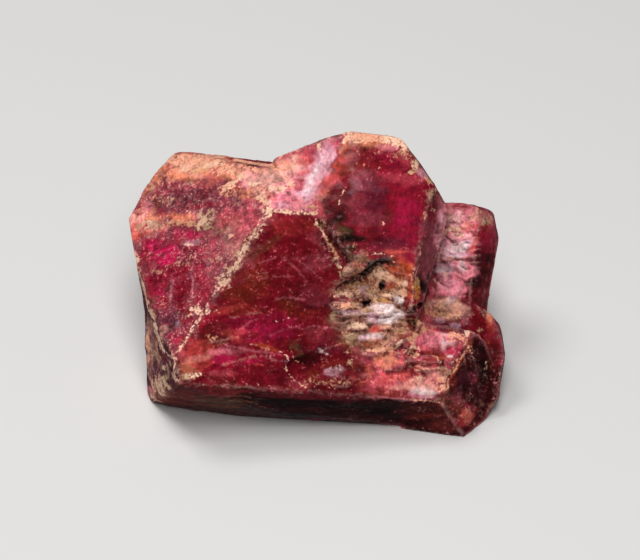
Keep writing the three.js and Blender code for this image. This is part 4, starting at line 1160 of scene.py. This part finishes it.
# painted lines, laid over the list: paint, strength, width (mm), points across and up
STROKES = (
    # Worn seam between the two large faces
    ("cream", 0.3, 0.63, ((-3.41, 4.23), (-3.66, 3.54), (-4.42, 2.53), (-5.56, 0.76),
        (-6.19, -0.25))),
    ("cream", 0.27, 0.25, ((-3.41, 4.23), (-3.66, 3.54), (-4.42, 2.53), (-5.56, 0.76),
        (-6.19, -0.25))),
    ("cream", 0.3, 0.16, ((-6.19, -0.25), (-6.82, -1.14), (-7.39, -2.08), (-8.21, -3.6),
        (-8.97, -4.55))),
    ("cream", 0.35, 0.1, ((-6.19, -0.25), (-6.82, -1.14), (-7.39, -2.08), (-8.21, -3.6),
        (-8.97, -4.55))),
    ("khaki", 0.3, 0.76, ((-4.17, 3.03), (-5.31, 1.26), (-6.06, 0))),
    ("cream", 0.6, 0.16, ((-7.58, -2.4), (-8.02, -2.91), (-8.46, -3.92), (-9.09, -4.55))),
    # Ridge below the shelf
    ("cream", 0.6, 0.15, ((-0.25, 3.79), (0, 3.28), (0.38, 2.65))),
    ("tan", 0.7, 0.22, ((0.38, 2.65), (0.76, 2.02), (1.14, 1.39))),
    ("khaki", 0.55, 0.25, ((0.88, 1.39), (1.14, 0.63), (1.52, 0))),
    ("cream", 0.45, 0.11, ((1.01, 1.14), (1.39, 0.76), (1.64, 0.19))),
    # Left outline, worn white
    ("cream", 0.9, 0.14, ((-11.49, 0.51), (-11.18, -0.32), (-10.93, -1.26), (-10.67, -2.21))),
    ("cream", 0.75, 0.15, ((-10.67, -2.21), (-10.36, -3.03), (-10.17, -3.79))),
    ("cream", 0.8, 0.11, ((-10.17, -3.92), (-9.92, -4.42), (-9.47, -4.86), (-9.09, -4.93))),
    ("crust", 0.6, 0.16, ((-12.13, 4.04), (-12, 3.03), (-11.75, 1.89), (-11.49, 0.76))),
    ("cream", 0.5, 0.13, ((-9.09, -4.86), (-9.28, -5.68), (-9.09, -6.44))),
    # Cracks, with painted shadows in the pit
    ("cream", 0.7, 0.08, ((-0.13, 5.68), (0.13, 6.32), (0.51, 7.01))),
    ("black", 0.75, 0.08, ((-0.06, 5.75), (0.19, 6.32), (0.57, 7.07))),
    ("khaki", 0.7, 0.08, ((1.14, 2.84), (0.88, 3.03), (0.69, 3.35))),
    ("cream", 0.75, 0.08, ((1.26, 4.8), (1.39, 5.31), (1.52, 5.68))),
    ("cream", 0.6, 0.08, ((-2.34, 6.57), (-1.77, 6.69))),
    # pink, lavender and white along the flank: painted sheen
    ("pink", 0.45, 1.14, ((0.57, 8.46), (0.13, 7.58), (-0.32, 6.44), (-0.69, 5.31))),
    ("lavender", 0.55, 0.76, ((0.38, 8.21), (0, 7.45), (-0.38, 6.44), (-0.76, 5.31))),
    ("white", 0.45, 0.38, ((-0.25, 6.82), (-0.57, 6.19), (-0.88, 5.43))),
    ("white", 0.5, 0.13, ((0.25, 8.08), (-0.06, 7.39), (-0.38, 6.82))),
    ("cream", 0.8, 0.1, ((-2.53, -4.48), (-2.21, -4.8), (-2.02, -5.12))),
    ("khaki", 0.6, 0.1, ((-4.42, -3.98), (-3.66, -4.23), (-3.16, -4.36))),
    ("cream", 0.6, 0.09, ((-2.27, -5.31), (-2.02, -5.87), (-1.52, -6.38), (-0.88, -6.76))),
    ("khaki", 0.8, 0.11, ((-1.83, -4.29), (-1.89, -4.67), (-1.64, -5.05), (-1.07, -5.31))),
    ("white", 0.7, 0.07, ((-0.06, -4.36), (0.25, -4.55), (0.51, -4.74))),
    ("cream", 0.5, 0.07, ((-3.03, -2.65), (-2.4, -2.53), (-1.83, -2.34))),
    ("cream", 0.55, 0.07, ((-4.11, -1.45), (-3.92, -1.83), (-3.66, -1.96))),
    ("coral", 0.6, 0.06, ((-7.71, -5.75), (-7.07, -5.43), (-6.44, -5.12))),
    ("coral", 0.55, 0.06, ((-4.8, -5.12), (-4.17, -5.31), (-3.54, -5.43))),
    ("crust", 0.6, 0.07, ((3.28, -6.32), (3.73, -6.63), (4.17, -7.01))),
    # black, three lines: painted shadow under the overhanging lip of the pit
    ("black", 0.9, 0.2, ((1.64, -0.19), (2.27, 0.06), (2.78, 0.63), (3.22, 1.14))),
    ("black", 0.95, 0.27, ((3.16, 1.01), (3.6, 1.2), (4.29, 1.2))),
    ("black", 0.85, 0.16, ((4.17, 1.26), (4.48, 0.88))),
    ("cream", 0.55, 0.08, ((2.65, 1.52), (3.28, 1.58), (4.17, 1.64))),
    ("crust", 0.55, 0.09, ((6.63, 2.78), (6.44, 2.15), (6.32, 1.39), (6.13, 0.38))),
    ("dusky", 0.5, 0.13, ((6.82, 3.28), (6.57, 2.65))),
    # lavender lines on the tall face: painted highlights
    ("lavender", 0.18, 0.09, ((-8.08, 1.14), (-8.08, 0), (-8.15, -1.26))),
    ("lavender", 0.18, 0.09, ((-9.35, 0.38), (-9.41, -0.63), (-9.54, -1.83))),
    ("cream", 0.3, 0.08, ((-10.11, -1.07), (-9.16, -1.01), (-8.65, -1.01))),
    ("maroon", 0.6, 0.09, ((-5.05, 1.14), (-4.11, 1.77), (-3.28, 2.15), (-2.21, 3.16))),
    ("wedge", 0.5, 0.08, ((-3.28, 6.57), (-2.78, 6.32), (-2.27, 6.13))),
    # black and maroon lines below: painted shade under the ledges of the pit
    ("black", 0.6, 0.09, ((1.45, -0.13), (1.01, -0.63), (0.63, -1.26))),
    ("rust", 0.6, 0.09, ((0.63, -1.26), (0.38, -1.83), (0.69, -2.53), (1.26, -3.03))),
    ("black", 0.55, 0.08, ((1.58, -1.89), (2.53, -1.83), (3.03, -1.64))),
    ("maroon", 0.55, 0.08, ((1.71, -2.46), (2.4, -2.53), (3.03, -2.65))),
    ("rust", 0.6, 0.08, ((1.89, -3.22), (2.65, -3.28), (3.28, -3.22))),
    ("umber", 0.6, 0.11, ((1.64, -1.14), (2.15, -1.39), (2.78, -1.64))),
    ("black", 0.5, 0.09, ((2.02, -2.65), (2.91, -2.84), (3.79, -2.72))),
    # black: painted shadow under the lip of the pit
    ("black", 0.85, 0.32, ((2.53, 0), (3.03, 0.57), (3.54, 1.01), (4.04, 1.2))),
    ("olive", 0.5, 0.09, ((1.64, -3.79), (2.53, -3.85), (3.41, -3.85))),
    ("cream", 0.7, 0.07, ((5.87, 0.51), (6.13, 0.06))),
    # Steps on the pale strip; the white and blush lines are painted highlights on the ledges
    ("maroon", 0.5, 0.06, ((8.34, 3.66), (9.09, 3.66), (9.73, 3.73))),
    ("white", 0.5, 0.09, ((7.45, 2.15), (8.34, 2.34), (9.22, 2.27))),
    ("white", 0.4, 0.09, ((7.45, 1.83), (8.21, 1.96), (8.97, 1.89))),
    ("blush", 0.5, 0.09, ((7.58, 2.46), (8.53, 2.72), (9.47, 2.65))),
    ("magenta", 0.3, 0.51, ((0.25, 8.21), (0.76, 8.53), (1.26, 8.84))),
    # black: painted shade in the gap between strip and block
    ("black", 0.85, 0.32, ((6.76, 0.25), (6.76, -0.63), (6.57, -1.39))),
    ("rust", 0.6, 0.06, ((8.34, 3.03), (8.97, 2.97), (9.73, 3.09))),
    ("maroon", 0.5, 0.06, ((8.21, 2.53), (8.97, 2.53), (9.6, 2.78))),
    ("rust", 0.6, 0.07, ((7.83, 2.15), (8.59, 2.21), (9.35, 2.4))),
    ("rust", 0.7, 0.08, ((7.58, 1.07), (8.34, 1.2), (9.35, 1.33))),
    ("maroon", 0.6, 0.06, ((7.33, -1.07), (8.21, -1.01), (9.09, -0.88))),
    # Steps across the block
    ("brick", 0.7, 0.07, ((6.57, -4.99), (7.45, -4.99), (8.34, -5.05))),
    ("rust", 0.6, 0.07, ((6.69, -5.43), (7.58, -5.43), (8.08, -5.37))),
    ("crust", 0.6, 0.07, ((6.57, -5.62), (7.58, -5.62), (8.02, -5.62))),
    ("coral", 0.4, 0.22, ((9.54, -3.85), (9.09, -4.55), (8.72, -5.31), (8.15, -6.19),
        (7.83, -7.07))),
    ("crust", 0.5, 0.11, ((9.54, -3.85), (9.09, -4.55), (8.72, -5.31), (8.15, -6.19),
        (7.83, -7.07))),
    ("crust", 0.7, 0.1, ((5.68, -7.58), (6.63, -7.64), (7.64, -7.71))),
    # Bottom edge of the front face
    ("crust", 0.1, 0.08, ((-7.58, -6.57), (-4.42, -6.63), (-1.26, -6.76), (1.26, -7.01))),
    ("pink", 0.5, 0.08, ((3.79, -7.33), (5.05, -7.52), (5.81, -7.64))),
    # Fine lines on the undercut
    ("olive", 0.5, 0.06, ((-8.21, -7.33), (-6.32, -7.33), (-4.42, -7.39))),
    ("olive", 0.6, 0.06, ((-7.89, -7.58), (-6, -7.64), (-4.11, -7.77))),
    ("brick", 0.5, 0.06, ((-8.84, -7.83), (-7.26, -7.89), (-5.56, -8.08))),
    ("wedge", 0.3, 0.05, ((-4.04, -6.82), (-4.04, -7.89), (-3.98, -8.84))),
    # Top edge seen from behind the crust
    ("crust", 0.8, 0.32, ((-5.37, 7.52), (-4.29, 7.39), (-3.41, 7.26), (-2.78, 7.14))),
    # Light streaks drawn out on the front face
    ("pink", 0.26, 0.11, ((-5.94, -4.11), (-4.74, -4.36), (-3.66, -4.55), (-2.53, -4.67))),
    ("blush", 0.23, 0.09, ((-6.95, -3.92), (-6.06, -3.79), (-5.05, -3.54))),
    ("blush", 0.23, 0.09, ((-5.56, -2.4), (-4.55, -2.15), (-3.66, -2.02))),
    ("pink", 0.2, 0.09, ((-4.42, 0.76), (-3.66, 1.14), (-2.78, 1.39))),
    ("pink", 0.2, 0.09, ((-3.92, 0), (-3.03, 0.25), (-1.89, 0.25))),
    ("pink", 0.2, 0.09, ((-2.84, -1.26), (-1.89, -1.14), (-1.01, -1.26))),
    ("coral", 0.23, 0.09, ((-8.46, -4.55), (-7.58, -4.04), (-6.69, -3.54))),
    ("blush", 0.23, 0.09, ((-6.19, -5.43), (-5.05, -5.05), (-4.04, -4.8))),
    ("pink", 0.23, 0.09, ((-1.26, -3.16), (-0.32, -2.91), (0.63, -3.03))),
    # Fine scratches
    ("pink", 0.21, 0.09, ((-5.18, -3.16), (-4.29, -2.65), (-3.28, -2.27))),
    ("blush", 0.21, 0.09, ((-7.2, -4.55), (-6.57, -4.17), (-5.94, -3.92))),
    ("pink", 0.18, 0.09, ((-3.28, -3.54), (-2.4, -3.16), (-1.26, -2.91))),
    ("lavender", 0.18, 0.08, ((-3.66, -4.74), (-3.03, -5.05), (-2.15, -5.18))),
    ("pink", 0.18, 0.09, ((-1.26, 1.14), (-0.51, 0.63), (0.13, -0.13))),
    ("pink", 0.18, 0.09, ((-2.27, 1.39), (-1.52, 0.76), (-0.88, -0.13))),
    ("blush", 0.18, 0.09, ((-0.13, -4.55), (0.76, -4.17), (1.52, -3.92))),
)

mesh = skin.data
seen = Survey(mesh)
points, edges, back = seen.points, seen.edges, seen.back
count = len(points)
palette = {name: np.array(linear(code)) for name, code in PAINT.items()}


class Coat:
    """Colour of the stone, painted shade and highlights included, and, apart from it, the pale
    crushed grains that lie on it.
    """

    def __init__(self, paint):
        self.tint = np.tile(palette[paint], (count, 1))
        self.dust = np.tile(palette["cream"], (count, 1))
        self.dusting = np.zeros(count)

    def lay(self, share, paint):
        """Crumbling paints cover more of the grains, the others colour the stone, painted shade
        and highlights among them, and bury them.
        """
        colour = palette[paint]
        if paint not in CRUMBLING:
            self.tint += (colour - self.tint) * share[:, None]
            self.dusting *= 1 - share
            return
        under = self.dusting * (1 - share)
        self.dusting = under + share
        most = np.maximum(self.dusting, 1e-6)
        self.dust = (self.dust * under[:, None] + colour * share[:, None]) / most[:, None]


coat = Coat("crimson")
for paint, strength, size, side, start, full, seed in CLOUDS:
    cloud = side * layered(points, size, 3, seed)
    coat.lay(strength * smooth_step(start, full, cloud), paint)

# the other paints, painted shade and highlights among them, are drawn out along the growth of the
# crystals, crumbling paints aren't
stretched = points * np.array([0.3, 1, 1])
drawn = 0.92 + 0.8 * layered(stretched, 0.45, 3, 240) + 0.5 * layered(points, 1.2, 2, 250)
drawn = np.clip(drawn, 0.2, 1.0)

grains = BACK_GRAINS * back
crushed = np.full(count, BACK_CRUSHED)
for name, (paint, amount, rough) in FACE_PAINT.items():
    share = spread(face_share(name, points, seen.broad), edges, 6)
    coat.lay(share * (drawn if paint in CRUMBLING else 1), paint)
    grains = np.maximum(grains, amount * share)
    crushed += (rough - crushed) * share

wander = np.stack([layered(stretched, 0.6, 3, 100 + c) for c in range(3)], 1)
wander *= np.array([1.8, 1, 1])
loose = seen.sheet + wander * LOOSE
tight = seen.sheet + wander * TIGHT
ragged = 0.45 + 1.1 * noise(points, 0.35, 120)
for paint, strength, *oval in PATCHES:
    large = min(oval[2:4]) > LARGE
    share = strength * seen.patch_share(*oval, sheet=loose if large else tight)
    coat.lay(share * (drawn if large and paint not in CRUMBLING else 1), paint)
for paint, strength, width, path in STROKES:
    coat.lay(strength * seen.stroke_share(width, path, tight, ragged), paint)

# thin scatter of grains on all that isn't dark
bright = coat.tint @ np.array([0.3, 0.6, 0.1])
grains *= smooth_step(-0.5, 0.6, layered(points, 1.3, 3, 230)) * smooth_step(0.01, 0.05, bright)
grains *= 1 - coat.dusting
crushed = np.maximum(crushed, spread(coat.dusting, edges, 3))
pale = 0.4 * coat.tint + 0.6 * palette["pink"]
coat.dust += (pale - coat.dust) * (grains / np.maximum(grains + coat.dusting, 1e-6))[:, None]
coat.dusting += grains

# the plainer side has longer edges, so the same bends measure larger there
close = 1 - 0.3 * back
wide = seen.bulge(points, NEARBY) * close  # mm
fine = seen.bulge(points, 3) * close  # mm
masks = {
    "dusting": coat.dusting,
    "crushed": crushed,
    "edge": smooth_step(0.015, 0.07, wide) * smooth_step(0.02, 0.1, bright),
    "crevice": smooth_step(0.012, 0.06, -wide),
    # pale on the smallest bumps: grit, and painted glints
    "grit_and_glint": smooth_step(0.004, 0.02, fine),
}
for name, values in masks.items():
    layer = mesh.attributes.new(name, "FLOAT", "POINT")
    layer.data.foreach_set("value", values.astype(np.float32))
for name, values in {"tint": coat.tint, "dust": coat.dust}.items():
    opaque = np.ones((count, 4), dtype=np.float32)
    opaque[:, :3] = values
    layer = mesh.color_attributes.new(name, "FLOAT_COLOR", "POINT")
    layer.data.foreach_set("color", opaque.ravel())

# ---- materials ----------------------------------------------------------------------------------


def per_metre(size):
    """Texture scale for features of a size in mm."""
    return 1 / (size * MM)


# clouds inside the stone
CLOUD = {"Scale": per_metre(1.3), "Detail": 3.0, "Roughness": 0.55}
# small healed cracks
MOTTLE = {"Scale": per_metre(0.42), "Detail": 3.0, "Roughness": 0.6}
# crushed grains: finer ones wouldn't show, so they are drawn this coarse
SPECK = {"Scale": per_metre(0.15), "Detail": 1.0, "Roughness": 0.5}
# growth lines, drawn out five times as long
FIBRE = {"Scale": per_metre(0.2), "Detail": 3.0, "Roughness": 0.6}
GROWTH = {"Rotation": (0.5, 0.3, 0.6), "Scale": (1, 0.2, 1)}
# pale threads, and what bends them and the flakes
CURL = {"Scale": per_metre(0.55), "Detail": 2.0, "Roughness": 0.55}
SWIRL = {"Scale": per_metre(0.5), "Detail": 2.0, "Roughness": 0.5}

FLAKE = 0.42  # mm across
FLAKE_BEND, THREAD_BEND = 0.25, 0.3  # mm

THREAD_COLOUR = "#dc9c90"
PAINTED_GLINT_COLOUR = "#ecbcac"
CREVICE_COLOUR = "#280c08"
GRIT_AND_GLINT_COLOUR = "#e4b8ac"
RUSTY_GRAIN = "#b85c48"
CARD_COLOUR = "#d9d8d6"

SPINEL_IOR = 1.718


def node(tree, kind, inputs, output=0, **settings):
    """Adds a node with its settings and links, and returns one of its outputs.

    Inputs are values, or sockets to link from, by name or in the node's own order.
    """
    made = tree.nodes.new("ShaderNode" + kind)
    for key, value in settings.items():
        setattr(made, key, value)
    for key, value in inputs.items() if isinstance(inputs, dict) else enumerate(inputs):
        if isinstance(value, bpy.types.NodeSocket):
            tree.links.new(value, made.inputs[key])
        else:
            made.inputs[key].default_value = value
    return made.outputs[output] if made.outputs else None


def rgba(code):
    return (*linear(code), 1)


def vitreous_spinel():
    """Gem spinel in the rough: glassy, cloudy inside, scuffed pale on its edges, brown in cracks.

    It grew as crystals, was broken and weathered. So its faces keep a soft gloss over clouds and
    growth lines, and where it is crushed there are grains, flakes, dust and painted glints.
    """
    material = bpy.data.materials.new("rough_vitreous_spinel")
    material.use_nodes = True
    tree = material.node_tree
    tree.nodes.clear()
    place = node(tree, "TexCoord", {}, "Object")
    tint = node(tree, "Attribute", {}, "Color", attribute_name="tint")
    dust = node(tree, "Attribute", {}, "Color", attribute_name="dust")
    edge, crevice, grit_and_glint, dusting, crushed = [
        node(tree, "Attribute", {}, "Fac", attribute_name=name)
        for name in ("edge", "crevice", "grit_and_glint", "dusting", "crushed")
    ]
    along = node(tree, "Mapping", {"Vector": place, **GROWTH})
    cloud = node(tree, "TexNoise", {"Vector": place, **CLOUD})
    mottle = node(tree, "TexNoise", {"Vector": place, **MOTTLE})
    speck = node(tree, "TexNoise", {"Vector": place, **SPECK})
    fibre = node(tree, "TexNoise", {"Vector": along, **FIBRE})
    swirl = node(tree, "TexNoise", {"Vector": place, **SWIRL}, "Color")

    # flakes: small flat facets, each at its own tilt and depth of red
    bend = node(tree, "VectorMath", {0: swirl, "Scale": FLAKE_BEND * MM}, operation="SCALE")
    bent = node(tree, "VectorMath", [along, bend], operation="ADD")
    flakes = node(tree, "TexVoronoi", {"Vector": bent, "Scale": per_metre(FLAKE)}, "Color")
    middle = flakes.node.outputs["Position"]
    lean = node(tree, "VectorMath", [flakes, (0.5, 0.5, 0.5)], operation="SUBTRACT")
    inside = node(tree, "VectorMath", [bent, middle], operation="SUBTRACT")
    tilt = node(tree, "VectorMath", [inside, lean], "Value", operation="DOT_PRODUCT")
    shade = node(tree, "SeparateColor", {"Color": flakes})

    # threads: thin pale curls where a healed crack comes to the surface
    bend = node(tree, "VectorMath", {0: swirl, "Scale": THREAD_BEND * MM}, operation="SCALE")
    bent = node(tree, "VectorMath", [place, bend], operation="ADD")
    curl = node(tree, "TexNoise", {"Vector": bent, **CURL})
    thread = node(tree, "Math", [curl, 0.5], operation="SUBTRACT")
    thread = node(tree, "Math", [thread], operation="ABSOLUTE")
    thread = node(tree, "MapRange", [thread, 0.01, 0.036, 1.0, 0.0])
    beaded = node(tree, "MapRange", [speck, 0.46, 0.6, 0.0, 1.0])
    thread = node(tree, "Math", [thread, beaded], operation="MULTIPLY")

    def varied(colour, value, calm, rough):
        """Lighter and darker by a texture: gently where it is glassy, harder where crushed."""
        reach = node(tree, "MapRange", [crushed, 0.0, 1.0, calm, rough])
        swing = node(tree, "Math", [value, 0.5], operation="SUBTRACT")
        swing = node(tree, "Math", [swing, reach], operation="MULTIPLY")
        swing = node(tree, "Math", [swing, 1.0], operation="ADD")
        return node(tree, "VectorMath", {0: colour, "Scale": swing}, operation="SCALE")

    stone = tint
    for value, calm, rough in (
        (cloud, 1.4, 1.4),
        (mottle, 1.1, 2.5),
        (fibre, 1.5, 1.3),
        (speck, 0.5, 1.3),
        (shade, 0.1, 0.4),
    ):
        stone = varied(stone, value, calm, rough)

    # grains: where they lie, and their colour, rusty where they are thin
    scatter = node(tree, "Math", [mottle, 0.5], operation="MULTIPLY")
    scatter = node(tree, "Math", [speck, 0.3, scatter], operation="MULTIPLY_ADD")
    scatter = node(tree, "Math", [fibre, 0.2, scatter], operation="MULTIPLY_ADD")
    scatter = node(tree, "MapRange", [scatter, 0.38, 0.66, 0.0, 1.0])
    scatter = node(tree, "Math", [thread, 0.2, scatter], operation="MULTIPLY_ADD")
    rubbed = node(tree, "MapRange", [mottle, 0.35, 0.65, 0.0, 0.7])
    rubbed = node(tree, "Math", [edge, rubbed], operation="MULTIPLY")
    dusting = node(tree, "Math", [dusting, rubbed], operation="MAXIMUM")
    covered = node(tree, "Math", [scatter, dusting], operation="ADD")
    covered = node(tree, "MapRange", [covered, 0.8, 1.25, 0.0, 1.0])
    dust = varied(varied(dust, speck, 0.6, 0.9), cloud, 0.8, 0.8)
    rusty = node(tree, "MapRange", [mottle, 0.46, 0.3, 0.0, 0.55])

    # pale threads and painted glints on the crushed places, darker in the creases
    pale = node(tree, "Math", [crushed, 0.1, cloud], operation="MULTIPLY_ADD")
    pale = node(tree, "MapRange", [pale, 0.52, 0.68, 0.0, 0.7])
    pale = node(tree, "Math", [thread, pale], operation="MULTIPLY")
    open_thread = node(tree, "MapRange", [crushed, 0.15, 0.6, 0.15, 1.0])
    pale = node(tree, "Math", [pale, open_thread], operation="MULTIPLY")
    painted_glint = node(tree, "MapRange", [speck, 0.67, 0.76, 0.0, 1.0])
    for value, *ends in ((mottle, 0.5, 0.62, 0.0, 1.0), (crushed, 0.15, 0.8, 0.0, 0.5)):
        where = node(tree, "MapRange", [value, *ends])
        painted_glint = node(tree, "Math", [painted_glint, where], operation="MULTIPLY")
    # near-black brown in every hollow and crease, by the crevice mask
    crease_darkening = node(tree, "MapRange", [mottle, 0.3, 0.6, 0.75, 0.2])
    crease_darkening = node(tree, "Math", [crevice, crease_darkening], operation="MULTIPLY")
    # pale flecks on small bumps: grit and painted glints
    grit_and_glint_share = node(tree, "Math", [grit_and_glint, 0.2], operation="MULTIPLY")

    layers = {"Factor": rusty, "A": dust, "B": rgba(RUSTY_GRAIN)}
    dust = node(tree, "Mix", layers, "Result", data_type="RGBA")
    colour = stone
    for share, over in (
        (covered, dust),
        (pale, rgba(THREAD_COLOUR)),
        (painted_glint, rgba(PAINTED_GLINT_COLOUR)),
        (crease_darkening, rgba(CREVICE_COLOUR)),
        (grit_and_glint_share, rgba(GRIT_AND_GLINT_COLOUR)),
    ):
        layers = {"Factor": share, "A": colour, "B": over}
        colour = node(tree, "Mix", layers, "Result", data_type="RGBA")

    # how high the small relief is, in mm, and the lean of the flakes
    height = node(tree, "Math", [mottle, 0.05 * MM], operation="MULTIPLY")
    for value, depth in ((speck, 0.02 * MM), (fibre, 0.02 * MM), (tilt, 0.5)):
        height = node(tree, "Math", [value, depth, height], operation="MULTIPLY_ADD")
    calmed = node(tree, "MapRange", [crushed, 0.0, 1.0, 0.15, 1.0])
    height = node(tree, "Math", [height, calmed], operation="MULTIPLY")
    shader = node(
        tree,
        "BsdfPrincipled",
        {
            "Base Color": colour,
            "Roughness": node(tree, "MapRange", [mottle, 0.3, 0.7, 0.22, 0.5]),
            "IOR": SPINEL_IOR,
            "Specular IOR Level": 0.12,  # low: soft lamps over a pale floor would grey the red
            "Subsurface Weight": 0.2,
            "Subsurface Radius": (1.0, 0.25, 0.3),
            "Subsurface Scale": 0.5 * MM,
            "Normal": node(tree, "Bump", {"Height": height, "Strength": 0.9, "Distance": 1.0}),
        },
    )
    node(tree, "OutputMaterial", {"Surface": shader})
    return material


def matte_floor():
    """Plain pale card, pressed smooth: it has no pattern and hardly any gloss."""
    material = bpy.data.materials.new("pale_matte_card")
    material.use_nodes = True
    tree = material.node_tree
    tree.nodes.clear()
    shader = node(tree, "BsdfPrincipled", {"Base Color": rgba(CARD_COLOUR), "Roughness": 0.8})
    node(tree, "OutputMaterial", {"Surface": shader})
    return material


skin.data.materials.append(vitreous_spinel())
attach(skin, "root")
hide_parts("spinel_crystal")

# ---- floor and light ----------------------------------------------------------------------------

FLOOR_SIZE = 3.0  # m
LAMP_DISTANCE, LAMP_SIZE = 0.33, 0.15  # m
LAMP_AIM = 0.008  # m above the floor

# each lamp: azimuth, elevation, power (W) and whether the stone's gloss shows it. The two broad
# ones in front and the card stay out of the gloss, which they would turn grey
LAMPS = {
    "front": (5, 55, 0.42, False),
    "top": (0, 75, 0.46, False),
    "side": (-110, 66, 0.44, True),
}
SKY_COLOUR = "#f4f4f6"
SKY_STRENGTH = 0.08

bpy.ops.object.select_all(action="DESELECT")
bpy.ops.mesh.primitive_plane_add(size=FLOOR_SIZE, location=(0, 0, 0))
floor = bpy.context.active_object
floor.name = "floor"
floor.data.materials.append(matte_floor())
floor.visible_glossy = False

for name, (azimuth, elevation, power, glossy) in LAMPS.items():
    data = bpy.data.lights.new(name, "AREA")
    data.shape = "DISK"
    data.size = LAMP_SIZE
    data.energy = power
    lamp = bpy.data.objects.new(name, data)
    bpy.context.collection.objects.link(lamp)
    out = Vector(direction(azimuth, elevation))
    lamp.location = out * LAMP_DISTANCE + Vector((0, 0, LAMP_AIM))
    lamp.rotation_euler = out.to_track_quat("Z", "Y").to_euler()
    lamp.visible_glossy = glossy

world = bpy.data.worlds.new("studio")
world.use_nodes = True
sky = world.node_tree.nodes["Background"]
sky.inputs["Color"].default_value = rgba(SKY_COLOUR)
sky.inputs["Strength"].default_value = SKY_STRENGTH
bpy.context.scene.world = world
bpy.context.scene.view_settings.view_transform = "Standard"
